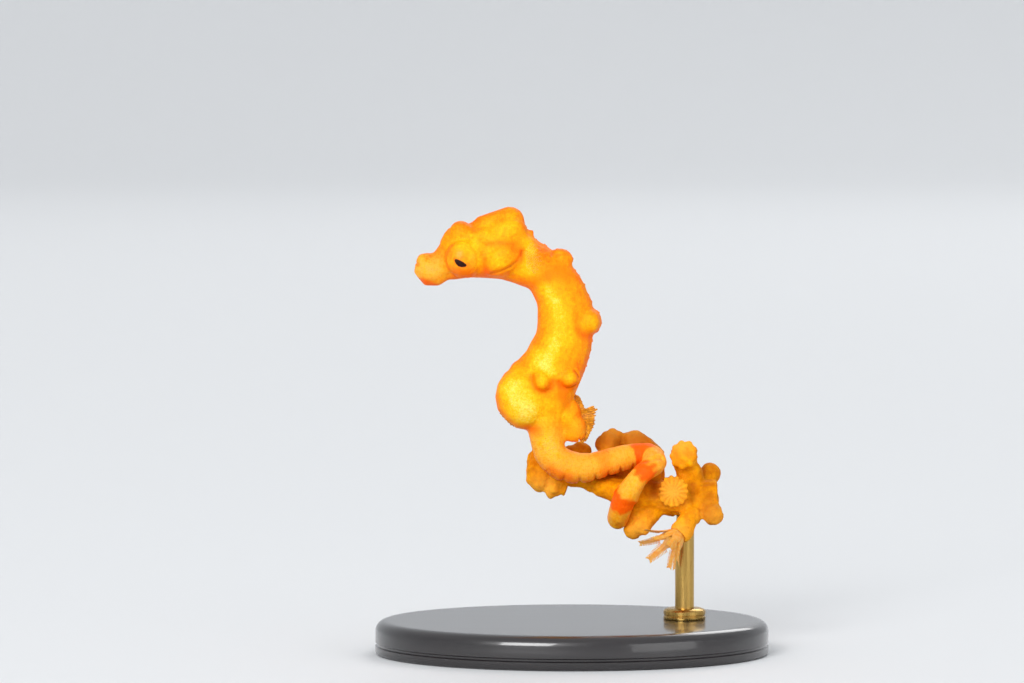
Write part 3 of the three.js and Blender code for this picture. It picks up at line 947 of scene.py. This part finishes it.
iris = Finish("eye_iris")
colour, grain = flesh_colour(iris)
pupil_space = iris.node(
    "ShaderNodeMapping",
    {
        "Vector": iris.object_place,
        "Location": (PUPIL[0] * MM, 0, PUPIL[1] * MM),
        "Rotation": (0, math.radians(PUPIL_TILT), 0),
        "Scale": (PUPIL_HALF[0] * MM, 1, PUPIL_HALF[1] * MM),
    },
    vector_type="TEXTURE",
)
across = iris.node("ShaderNodeSeparateXYZ", {"Vector": pupil_space.outputs["Vector"]}).outputs
long_way = iris.math("POWER", iris.math("ABSOLUTE", across["X"]), 1.6)
sag = iris.math("MULTIPLY_ADD", long_way, -PUPIL_SAG, PUPIL_SAG)
upright = iris.plus(across["Z"], sag)
leaf = iris.plus(long_way, iris.times(upright, upright), iris.swing(iris.noise(14000, 2), 0.12))
pupil_rim = iris.times(iris.spread(leaf, 1.9, 1.0), 0.6)
colour = iris.coats(colour, (pupil_rim, "f07808"), (iris.spread(leaf, 1.1, 0.9), "2a0d05"))
iris.bump(grain, 0.03, 0.3)
iris.set(Base_Color=colour, Roughness=0.42, Specular_IOR_Level=0.2)
iris.set(Coat_Weight=0.08, Coat_Roughness=0.15)
flesh_shine(iris)

# %% The eyes
FLANKS = (("left", -1), ("right", 1))
EYE_SIZE = (0.62, 0.46, 0.62)
CORNEA_REACH = 0.22
CORNEA_RISE = 0.02

for name, side in FLANKS:
    bpy.ops.object.select_all(action="DESELECT")
    bpy.ops.mesh.primitive_uv_sphere_add(
        segments=64,
        ring_count=48,
        radius=1.0,
        location=(EYE.x, side * EYE.y, EYE.z),
        rotation=(math.radians(90), 0, 0),
    )
    eyeball = bpy.context.object
    eyeball.name = f"eyeball_{name}"
    eyeball.scale = (EYE_SIZE[0], EYE_SIZE[2], EYE_SIZE[1])
    apply_place(eyeball)
    places, normals = corners_of(eyeball)
    raised = soft(line_distance(places[:, (0, 2)], [PUPIL]), CORNEA_REACH)
    raised = raised * (places[:, 1] * side > EYE.y)
    move_corners(eyeball, places + normals * (CORNEA_RISE * raised)[:, None])
    bulb = Flesh(eyeball)
    # The eye takes the skin's painted shade and painted highlights from the same strokes, and its
    # side that faces outwards is painted paler as painted light.
    keep_tone(eyeball, "blush_and_shade", painted(blush_and_shade_strokes, bulb.side))
    pale = 0.62 * painted(pale_and_highlight_strokes, bulb.side) + 0.25 * np.abs(bulb.normals[:, 1])
    keep_tone(eyeball, "pale", pale)
    bpy.ops.object.shade_smooth()
    finish_piece(eyeball, [f"eye_{name}"], iris.material)

# %% [markdown]
# ## The fins
#
# The fins are clear skin on thin rays, with a ragged edge. They could be one sheet with a bumpy
# margin; here one ray with its strip of skin is modelled and copied, so the rays, the overlaps and
# the ragged edge all come by themselves. The strip starts as a small grid, its far end is drawn
# together, its middle row is raised as the ray, and a thickness is added.

# %% One fin ray
bpy.ops.object.select_all(action="DESELECT")
bpy.ops.mesh.primitive_grid_add(
    x_subdivisions=8, y_subdivisions=4, size=1.0, location=(0.5, 0, 0)
)
fin_ray = bpy.context.object
fin_ray.name = "fin_ray"
apply_place(fin_ray)


def pick_corners(piece, chosen):
    """Go to edit mode with just the corners selected that pass a test on their place."""
    only(piece)
    bpy.ops.object.mode_set(mode="EDIT")
    bpy.ops.mesh.select_mode(type="VERT")
    bpy.ops.mesh.select_all(action="DESELECT")
    bpy.ops.object.mode_set(mode="OBJECT")
    for corner in piece.data.vertices:
        corner.select = chosen(corner.co)
    bpy.ops.object.mode_set(mode="EDIT")


SQUEEZES = ((0.7, 2, 0.9), (0.85, 2, 0.8), (0.95, 2, 0.6), (-1, 0.4, 0.7), (-1, 0.1, 0.6))
for low, high, squeeze in SQUEEZES:
    pick_corners(fin_ray, lambda co: low < co.x < high)
    bpy.ops.transform.resize(value=(1, squeeze, 1), center_override=(low, 0, 0))
    bpy.ops.object.mode_set(mode="OBJECT")
pick_corners(fin_ray, lambda co: abs(co.y) < 0.02)
bpy.ops.transform.translate(value=(0.03, 0, 0.04))
bpy.ops.object.mode_set(mode="OBJECT")
print("fin ray:", len(fin_ray.data.polygons), "faces")

FIN_THICKNESS = 0.012
RAY_LIFT = 0.003


def fan(name, rays, width, facing):
    """Copies of the ray, each from its foot to its tip, joined into one fin."""
    copies = []
    for number, (foot, tip) in enumerate(rays):
        copy = copy_of(fin_ray)
        along = Vector(tip) - Vector(foot)
        up = Vector(facing) - along * (Vector(facing).dot(along) / along.length_squared)
        across = up.cross(along).normalized()
        lift = up.normalized() * (RAY_LIFT if number % 2 else -RAY_LIFT)
        turn = np.array([along, across * width, up.normalized() * width]).T
        places, _ = corners_of(copy)
        move_corners(copy, places @ turn.T + np.array(Vector(foot) + lift))
        copies.append(copy)
    fin = join(name, copies)
    modifier(fin, "SOLIDIFY", thickness=FIN_THICKNESS, offset=0.0)
    face_outwards(fin)
    bpy.ops.object.shade_smooth()
    return fin


# %% [markdown]
# The dorsal fin stands on a swelling at the root of the tail. Its upper rays point up and stick out
# in two spikes, and its lower rays lie back along the body. The anal fin is a narrow frill under
# the belly, and the two pectoral fins are clear fans just behind the gills.

# %% Fins in place
def flat_rays(pairs, sway, between):
    """Rays in the middle plane of the body from pairs of (x, z), with more rays put in between."""
    ends = np.array(pairs, float).reshape(-1, 4)
    places = np.linspace(0, len(pairs) - 1, (len(pairs) - 1) * between + 1)
    rays = []
    for number, place in enumerate(places):
        now = [np.interp(place, range(len(pairs)), column) for column in ends.T]
        foot, tip = now[:2], now[2:]
        reach = 1 - 0.05 * (number % between)
        tip = [f + (t - f) * reach for f, t in zip(foot, tip)]
        y = sway * math.sin(place * 1.3)
        rays.append(((foot[0], 0.3 * y, foot[1]), (tip[0], y, tip[1])))
    return rays


dorsal_rays = [
    ((0.06, 9.25), (0.3, 9.08)), ((0.08, 9.1), (0.36, 8.97)), ((0.1, 8.97), (0.42, 8.83)),
    ((0.14, 8.84), (0.47, 8.71)), ((0.18, 8.72), (0.55, 8.7)), ((0.22, 8.62), (0.64, 8.64)),
    ((0.25, 8.54), (0.78, 8.82)), ((0.27, 8.48), (0.9, 8.72)), ((0.29, 8.42), (0.84, 8.5)),
    ((0.31, 8.35), (0.82, 8.33)), ((0.33, 8.28), (0.81, 8.19)), ((0.35, 8.2), (0.76, 8.06)),
    ((0.38, 8.11), (0.7, 7.95)), ((0.4, 8.02), (0.64, 7.85)), ((0.41, 7.93), (0.6, 7.76)),
    ((0.4, 7.84), (0.56, 7.67)), ((0.36, 7.75), (0.5, 7.58)), ((0.28, 7.68), (0.38, 7.52)),
]
anal_rays = [
    ((-2.45, 8.62), (-2.56, 8.56)), ((-2.38, 8.56), (-2.47, 8.45)), ((-2.3, 8.5), (-2.37, 8.35)),
    ((-2.22, 8.44), (-2.27, 8.25)), ((-2.13, 8.38), (-2.17, 8.15)), ((-2.04, 8.33), (-2.07, 8.1)),
    ((-1.96, 8.29), (-1.97, 8.07)), ((-1.88, 8.25), (-1.88, 8.1)),
]
dorsal_fin = fan("fin_dorsal", flat_rays(dorsal_rays, 0.05, 2), 0.12, (0, -1, 0))
anal_fin = fan("fin_anal", flat_rays(anal_rays, 0.02, 3), 0.1, (0, -1, 0))
PECTORAL_RAYS = 9
pectoral_fins = []
for name, side in FLANKS:
    rays = []
    for number in range(PECTORAL_RAYS):
        angle = math.radians(58 - number * 12)
        reach = 0.5 + 0.06 * math.sin(number / (PECTORAL_RAYS - 1) * math.pi)
        foot = (-1.74 + 0.1 * math.cos(angle), side * 0.78, 14.06 + 0.26 * math.sin(angle))
        tip = (foot[0] + reach * math.cos(angle), side * 0.86, foot[2] + reach * math.sin(angle))
        rays.append((foot, tip))
    pectoral_fins.append(fan(f"fin_pectoral_{name}", rays, 0.16, (0, side, 0)))
discard(fin_ray)
print("fins made:", [fin.name for fin in (dorsal_fin, anal_fin, *pectoral_fins)])

# %% [markdown]
# The skin of a fin is thin and clear, so it lets light through and shows what is behind it. The
# finish is partly clear, with darker rays. Each copied strip kept the grid's own UV map, and half
# way across it lies the ray, so one number from the map draws every ray of the fin.

# %% Fin finish
def fin_finish(name, membrane, ray, cover, ray_cover):
    """Clear skin and its rays, which cover what is behind them by these shares."""
    fin = Finish(name)
    own_map = fin.node("ShaderNodeTexCoord").outputs["UV"]
    strip = fin.node("ShaderNodeSeparateXYZ", {"Vector": own_map}).outputs
    from_ray = fin.math("ABSOLUTE", fin.math("SUBTRACT", strip["Y"], 0.5))
    on_ray = fin.spread(from_ray, 0.14, 0.05)
    flecks = fin.noise(9000, 3, 0.6)
    colour = fin.mix(fin.spread(flecks, 0.35, 0.7), *membrane)
    colour = fin.mix(fin.times(on_ray, 0.8), colour, ray)
    solid = fin.math("MULTIPLY_ADD", on_ray, ray_cover - cover, cover)
    fin.bump(flecks, 0.02, 0.3)
    fin.set(Base_Color=colour, Alpha=solid, Roughness=0.4, IOR=1.36)
    return fin.material


fin_skin = fin_finish("fin_skin", ("cc7a00", "ffac08"), "854a02", 0.88, 0.97)
fin_veil = fin_finish("fin_veil", ("ffb828", "ffe080"), "ffc860", 0.03, 0.09)
finish_piece(dorsal_fin, ["dorsal_fin"], fin_skin)
finish_piece(anal_fin, ["anal_fin"], fin_skin)
for fin, node in zip(pectoral_fins, ("pectoral_fin_left", "pectoral_fin_right")):
    finish_piece(fin, [node], fin_veil)

# %% [markdown]
# ## The sea-fan twig
#
# The twig has a horny core under a soft orange rind. The rind carries polyps, which are small
# animals with eight tentacles, here mostly drawn in to lobed knobs. The solid of the twig is
# copied as clay, balls and closed polyps are added to it, and the whole is remeshed and carved as
# the skin was. A cloud texture gives the rind its uneven, warty surface.

# %% Twig clay
def lobed_head(place, axis, reach, lobes=8, spread=0.62, lift=0.45):
    """A closed polyp: a dome on this axis, with its tentacles folded in over it as small lobes."""
    axis = Vector(axis).normalized()
    side = axis.orthogonal().normalized()
    other = axis.cross(side)
    balls = [clay_ball(place, (reach, reach, reach))]
    for number in range(lobes):
        turn = 2 * math.pi * number / lobes
        out = side * math.cos(turn) + other * math.sin(turn)
        spot = Vector(place) + out * (reach * spread) + axis * (reach * lift)
        balls.append(clay_ball(spot, (reach * 0.36,) * 3))
    return balls


STAR = Vector((3.57, -0.62, 5.84))
STAR_REACH = 0.6
STAR_LOBES = 15
RIM_BALL = (0.09, 0.1, 0.09)
CUP = Vector((3.9, -0.5, 4.42))
CUP_AXIS = Vector((-0.68, -0.42, -0.6)).normalized()

TWIG_FORMS = (
    ((-1.42, 1.0, 6.5), (0.2, 0.26, 0.34)),
    ((-1.14, 1.02, 6.18), (0.44, 0.38, 0.5)),
    ((-0.72, 0.95, 5.74), (0.2, 0.22, 0.32), 12),
    ((-0.42, 0.96, 5.98), (0.2, 0.24, 0.22), 30),
    ((-0.66, 1.0, 6.1), (0.36, 0.3, 0.3)),
    ((1.1, 1.15, 7.4), (0.26, 0.26, 0.3)),
    ((1.5, 1.15, 7.5), (0.29, 0.28, 0.36)),
    ((1.18, 1.12, 7.72), (0.12, 0.14, 0.12)),
    ((1.45, 1.2, 7.86), (0.15, 0.16, 0.12)),
    ((1.7, 1.15, 7.74), (0.12, 0.16, 0.14)),
    ((4.05, 0.12, 6.88), (0.4, 0.38, 0.4)),
    ((4.27, 0.25, 6.45), (0.38, 0.36, 0.5), -35),
    ((3.58, -0.38, 5.82), (0.5, 0.3, 0.5)),
    ((3.9, -0.1, 5.5), (0.5, 0.4, 0.5)),
    ((2.2, 0.05, 4.44), (0.35, 0.34, 0.37)),
    ((2.3, 0.12, 4.85), (0.36, 0.34, 0.4)),
    ((2.46, 0.1, 4.76), (0.4, 0.38, 0.46), 40),
    ((2.78, 0.15, 5.05), (0.44, 0.4, 0.55), 40),
    ((1.85, 0.8, 6.3), (0.55, 0.3, 0.36)),
    ((0.1, 1.15, 7.12), (0.45, 0.28, 0.24)),
    ((0.4, 1.1, 7.18), (0.3, 0.26, 0.26)),
    ((4.22, -0.3, 4.95), (0.38, 0.34, 0.36)),
    ((4.05, -0.42, 4.7), (0.36, 0.33, 0.36)),
    (CUP, (0.42, 0.38, 0.42)),
)
TWIG_HEADS = (
    ((2.24, 1.25, 7.45), (0, 0, 1), 0.42),
    ((2.85, 1.15, 6.98), (0.3, 0, 1), 0.36),
    ((4.01, -0.05, 7.07), (-0.35, -1, 0.35), 0.42, 9, 0.92, 0.3),
    ((4.98, -0.3, 5.05), (0.4, -0.8, -0.5), 0.36),
    ((4.95, 1.0, 6.3), (0.3, 0.6, 0.6), 0.36),
)

twig_clay = [clay_copy("perch_branch"), *[clay_ball(*form) for form in TWIG_FORMS]]
for head in TWIG_HEADS:
    twig_clay += lobed_head(*head)
for number in range(STAR_LOBES):
    turn = 2 * math.pi * number / STAR_LOBES
    spot = STAR + Vector((math.cos(turn), 0.1, math.sin(turn))) * (STAR_REACH * 0.84)
    twig_clay.append(clay_ball(spot, RIM_BALL))
twig = clay_lump("sea_fan_twig", twig_clay, voxel=0.042, passes=8)

# %% [markdown]
# The twig is slimmer than its clay in two places: the underside near the animal's bend is raised,
# and the shoulder behind the tail is lowered, each to a line of its own. Three hollows part the
# lobes. The warts come last, so that nothing smooths them away.

# %% Twig carving
UNDERSIDE = ((-0.25, 0.4, 1.4), (6.02, 5.84, 5.43))
SHOULDER = ((2.4, 2.7, 3.3), (7.95, 7.65, 7.05))
HOLLOWS = (
    ([(2.6, -0.3, 5.9), (3.0, -0.4, 6.1)], 0.3, 0.12),
    ([(2.65, 0.1, 4.15), (2.95, 0.1, 4.5)], 0.22, 0.1),
    ([(4.3, -0.2, 5.95), (4.25, -0.2, 5.6)], 0.18, 0.14),
)
WART_HEIGHT = 0.09

places, normals = corners_of(twig)
x, y, z = places.T
below = np.clip(np.interp(x, *UNDERSIDE) - z, 0, None) * rise(x, -0.3, -0.12)
z += 0.85 * (below * (1 - rise(x, 1.3, 1.5)))
above = np.clip(z - np.interp(x, *SHOULDER), 0, None) * rise(x, 2.3, 2.45)
z -= 0.8 * (above * (x < 3.5) * (y > 0.4))
for line, width, depth in HOLLOWS:
    places -= normals * (depth * soft(line_distance(places, line), width))[:, None]
move_corners(twig, places)

warts = bpy.data.textures.new("rind_warts", "CLOUDS")
warts.noise_scale = 0.3
warts.noise_depth = 2
modifier(
    twig, "DISPLACE", texture=warts, texture_coords="LOCAL", mid_level=0.5, strength=WART_HEIGHT
)
print("twig is", round(twig.dimensions.x, 2), "mm long")

# %% [markdown]
# The polyp that faces the viewer is closed flat like a flower. Its grooves run out from the middle
# like spokes, so they are cut by a wave on the angle round its centre.

# %% Star polyp
SPOKE_DEPTH = 0.04
PIT_DEPTH = 0.03

places, normals = corners_of(twig)
from_star = places - np.array(STAR)
reach = np.hypot(from_star[:, 0], from_star[:, 2])
angle = np.arctan2(from_star[:, 2], from_star[:, 0])
front = rise(-from_star[:, 1], -0.2, -0.05) * (1 - rise(reach, STAR_REACH, STAR_REACH + 0.12))
flat = STAR.y - 0.08 + 0.06 * soft(reach, STAR_REACH / 2)
places[:, 1] += 0.8 * front * (flat - places[:, 1]) * (reach < STAR_REACH - 0.05)
spokes = (0.5 - 0.5 * np.cos(angle * STAR_LOBES)) ** 2
groove = front * spokes * rise(reach, 0.1, 0.4) * SPOKE_DEPTH + front * soft(reach, 0.1) * PIT_DEPTH
spoke_shade = front * spokes * rise(reach, 0.05, 0.2)
move_corners(twig, places - normals * groove[:, None])
only(twig)
bpy.ops.object.shade_smooth()
print("twig carved, with", STAR_LOBES, "lobes on the star polyp")

# %% [markdown]
# ## An open polyp
#
# Below the star, one polyp has its mouth open. Its cup is part of the twig; it is hollowed by moving
# the corners round its middle inwards. A sea-fan polyp has eight feathery tentacles. They could be
# curves with a taper, but a feather repeats the same barb, so one barb is a small cone, its copies
# make one tentacle, and eight copies of that stand round the mouth.

# %% Cup
CUP_DEPTH = 0.2

places, _ = corners_of(twig)
outwards = np.array(CUP_AXIS)
from_cup = places - np.array(CUP)
depth = from_cup @ outwards
reach = np.linalg.norm(from_cup - depth[:, None] * outwards, axis=1)
mouth = rise(depth, 0.1, 0.25) * (1 - rise(reach, 0.2, 0.36)) * (reach < 0.4) * (depth < 0.6)
move_corners(twig, places - outwards * (CUP_DEPTH * mouth)[:, None])
print("cup hollowed at", int(np.count_nonzero(mouth > 0.1)), "corners")

# %% One tentacle
BARB_PAIRS = 13
FIRST_BARB, LAST_BARB = 0.36, 0.96
LONGEST_BARB, SHORTEST_BARB = 0.2, 0.12
BARB_LEAN = (0.08, 0.03)
BARB_THICK, BARB_THIN = 0.019, 0.014


def spike(foot, tip, thick, thin, sides):
    """A thin cone from its foot to its tip."""
    foot, tip = Vector(foot), Vector(tip)
    bpy.ops.object.select_all(action="DESELECT")
    bpy.ops.mesh.primitive_cone_add(
        vertices=sides,
        radius1=thick,
        radius2=thin,
        depth=(tip - foot).length,
        location=(foot + tip) / 2,
        rotation=(tip - foot).to_track_quat("Z", "Y").to_euler(),
    )
    apply_place(bpy.context.object)
    return bpy.context.object


parts = [
    clay_ball((0.15, 0, 0), (0.3, 0.16, 0.045)),
    spike((0, 0, 0), (0.5, 0, 0), 0.05, 0.04, 10),
    spike((0.45, 0, 0), (1, 0, 0), 0.042, 0.016, 10),
]
for number in range(BARB_PAIRS):
    share = number / (BARB_PAIRS - 1)
    along = FIRST_BARB + (LAST_BARB - FIRST_BARB) * share
    reach = LONGEST_BARB + (SHORTEST_BARB - LONGEST_BARB) * share
    for side in (-1, 1):
        tip = (along + BARB_LEAN[0], side * reach, BARB_LEAN[1])
        parts.append(spike((along, 0, 0), tip, BARB_THICK, BARB_THIN, 6))
tentacle = join("tentacle", parts)
modifier(tentacle, "REMESH", mode="VOXEL", voxel_size=0.012)
modifier(tentacle, "SMOOTH", factor=0.5, iterations=2)
modifier(tentacle, "DECIMATE", ratio=0.3)
print("one tentacle:", len(tentacle.data.polygons), "faces")

# %% Eight tentacles
TENTACLES = 8
CURL = 0.26
SPLAY, SPLAY_SWAY = 22, 8
LENGTH, LENGTH_SWAY = 1.05, 0.12
FOOT_REACH = 0.3

axis_side = CUP_AXIS.orthogonal().normalized()
axis_other = CUP_AXIS.cross(axis_side)
copies = []
for number in range(TENTACLES):
    turn = 2 * math.pi * (number + 0.3) / TENTACLES
    out = axis_side * math.cos(turn) + axis_other * math.sin(turn)
    splay = math.radians(SPLAY + SPLAY_SWAY * math.sin(number * 2.4))
    forward = CUP_AXIS * math.cos(splay) + out * math.sin(splay)
    across = CUP_AXIS.cross(out).normalized()
    length = LENGTH + LENGTH_SWAY * math.sin(number * 1.7)
    copy = copy_of(tentacle)
    places, _ = corners_of(copy)
    places[:, 2] -= CURL * places[:, 0] ** 2
    turned = np.array([forward, across, forward.cross(across)]) * length
    foot = CUP + CUP_AXIS * FOOT_REACH + out * FOOT_REACH
    move_corners(copy, places @ turned + np.array(foot))
    copies.append(copy)
discard(tentacle)
tentacles = join("polyp_tentacles", copies)
face_outwards(tentacles)
bpy.ops.object.shade_smooth()

clear_flesh = Finish("polyp_flesh")
flecks = clear_flesh.noise(9000, 3, 0.6)
colour = clear_flesh.mix(clear_flesh.spread(flecks, 0.35, 0.7), "ffa434", "ffc468")
clear_flesh.bump(flecks, 0.02, 0.3)
clear_flesh.set(Base_Color=colour, Alpha=0.8, Roughness=0.4, Specular_IOR_Level=0.2)
clear_flesh.set(Subsurface_Weight=0.3, Subsurface_Scale=0.0002)
finish_piece(tentacles, [], clear_flesh.material)

# %% [markdown]
# The rind is duller than the skin: orange on the knobs, and paler on the folded tentacles. Its
# hollows, the grooves of the star polyp and the polyps behind the animal get painted shade of
# brown. Tones are painted by place, as on the skin, and fine grit lies over them. The cut end of
# the twig shows its dark horny core.

# %% Rind finish
PALE_HEADS = (
    (3.56, -0.6, 5.84), (3.88, 0.0, 7.4), (2.22, 1.0, 7.6), (-1.0, 0.8, 5.8),
    (1.4, 1.0, 7.7), (4.98, -0.5, 4.9), (3.7, -0.7, 4.35), (2.4, -0.2, 4.4),
)
HEAD_REACH = 0.5
# Painted shade: the hollows of the twig, the parts beside the star polyp and the polyps behind the
# animal turn brown.
RECESS_SHADES = (
    ([(2.5, 6.2), (2.9, 6.1), (2.95, 5.7)], 0.22, 0.7),
    ([(4.3, 6.0), (4.3, 5.55)], 0.16, 0.6),
    ([(0.9, 6.2), (1.5, 6.25), (2.0, 6.3)], 0.25, 0.45),
    ([(-0.1, 7.2), (0.6, 7.1)], 0.35, 0.5),
    ([(2.15, 5.35)], 0.14, 0.7),
    ([(-1.3, 6.6), (-1.1, 6.2)], 0.35, 0.25),
    ([(0.0, 5.95), (1.3, 5.6)], 0.2, 0.25),
    ([(1.2, 7.6), (2.9, 7.6)], 0.5, 0.75),
    ([(4.9, 5.0), (4.75, 5.9), (4.9, 6.4)], 0.5, 0.45),
)
CORE_MIDDLE = (0.25, 5.62)
CORE_REACH = 0.2

places, normals = corners_of(twig)
heads = [soft(line_distance(places, [head]), HEAD_REACH) for head in PALE_HEADS]
keep_tone(twig, "polyp", np.max(heads, axis=0))
shade = painted(RECESS_SHADES, lambda line, width: soft(line_distance(places[:, (0, 2)], line), width))
# The grooves of the star polyp get a little painted shade too.
keep_tone(twig, "recess_shade", np.maximum(shade, 0.25 * spoke_shade))
cut_end = rise(places[:, 0], 5.1, 5.2) * (normals[:, 0] > 0.8)
from_core = line_distance(places[:, (1, 2)], [CORE_MIDDLE])
keep_tone(twig, "core", cut_end * soft(from_core, CORE_REACH))

rind = Finish("coral_rind")
lumps = rind.noise(2600, 3, 0.55)
grit = rind.noise(12000, 3, 0.6)
colour = rind.coats(
    "d88000",
    (rind.spread(lumps, 0.35, 0.7), "ffa800"),
    (rind.times(rind.tone("polyp"), 0.85), "ffb03c"),
    (rind.times(rind.spread(grit, 0.55, 0.75), 0.45), "ffb438"),
    (rind.times(rind.spread(grit, 0.42, 0.25), 0.5), "b86a08"),
    # Painted shade, brown, in the hollows and grooves.
    (rind.tone("recess_shade"), "a04c02"),
    (rind.tone("core"), "3a1a08"),
)
rind.bump(rind.plus(rind.times(grit, 0.5), lumps), 0.06, 0.6)
rind.set(Base_Color=colour, Roughness=0.6, Specular_IOR_Level=0.06)
rind.set(Subsurface_Weight=0.2, Subsurface_Scale=0.0003, Subsurface_Radius=(1.0, 0.45, 0.1))
finish_piece(twig, ["perch_branch"], rind.material)

# %% [markdown]
# ## The stand
#
# The stand is an ordinary museum mount: an oval base of black lacquered wood with a turned groove,
# a brass pin and a brass collar. Each is a ring that is extruded upwards through its profile, as on
# a lathe.

# %% The base
BASE_HALF = (7.0, 5.5)
BASE_STEPS = (
    # foot
    (0.12, 0.0), (0.03, 0.04), (0.0, 0.12), (0.0, 0.3),
    # groove and side
    (0.06, 0.34), (0.06, 0.4), (0.0, 0.44), (0.0, 0.86),
    # rounded edge and top
    (0.03, 0.98), (0.1, 1.09), (0.2, 1.16), (0.32, 1.2), (0.5, 1.2),
)

half_x, half_y = BASE_HALF
base_profile = [(half_x - inset, half_y - inset, height) for inset, height in BASE_STEPS]
base = stacked_rings("stand_plinth", 144, base_profile)
bpy.ops.object.shade_smooth_by_angle(angle=math.radians(40))
print("base:", len(base_profile), "rings")

# %% Pin and collar
PIN = (4.02, 0.3)
PIN_STEPS = (
    (0.3, 1.21), (0.34, 1.24), (0.34, 4.5), (0.37, 4.52), (0.37, 4.62), (0.3, 4.66), (0.3, 5.25),
)
COLLAR_STEPS = (
    (0.74, 1.205), (0.75, 1.22), (0.75, 1.3), (0.72, 1.33), (0.72, 1.36),
    (0.75, 1.39), (0.75, 1.5), (0.7, 1.56), (0.6, 1.6), (0.38, 1.6),
)


def turned(name, sides, steps):
    """A round piece on the pin's place, from (reach, height) steps."""
    profile = [(reach, reach, height) for reach, height in steps]
    made = stacked_rings(name, sides, profile, place=PIN)
    bpy.ops.object.shade_smooth_by_angle(angle=math.radians(35))
    return made


pin = turned("stand_pin", 48, PIN_STEPS)
collar = turned("stand_ferrule", 64, COLLAR_STEPS)
print("pin and collar stand at", PIN)

# %% [markdown]
# Lacquer is a dark paint under a clear glossy coat, and the grain of the wood shows through it a
# little. Brass is a metal, and fine lines round it, left by the polishing, make its gloss uneven.
# Both patterns are noise that a Mapping node stretches.

# %% Lacquer and brass
lacquer = Finish("black_lacquer")
GRAIN = (60, 900, 900)
stretched = lacquer.node("ShaderNodeMapping", {"Vector": lacquer.object_place, "Scale": GRAIN})
wood = lacquer.noise(1.0, 4, 0.6, stretched.outputs["Vector"])
lacquer.bump(wood, 0.02, 0.25)
lacquer.set(Base_Color=lacquer.mix(wood, "0b0a0b", "262022"), Roughness=0.32)
lacquer.set(Coat_Weight=0.8, Coat_Roughness=0.08)

brass = Finish("brushed_brass")
DRAWN_LINES = (9000, 9000, 500)
drawn = brass.node("ShaderNodeMapping", {"Vector": brass.object_place, "Scale": DRAWN_LINES})
lines = brass.noise(1.0, 3, 0.6, drawn.outputs["Vector"])
brass.bump(lines, 0.006, 0.4)
brass.set(Base_Color=brass.mix(lines, "a27c38", "d2ae66"), Metallic=1.0)
brass.set(Roughness=brass.math("MULTIPLY_ADD", lines, 0.2, 0.18))

finish_piece(base, ["stand_base"], lacquer.material)
finish_piece(pin, ["stand_rod"], brass.material)
finish_piece(collar, ["stand_collar"], brass.material)
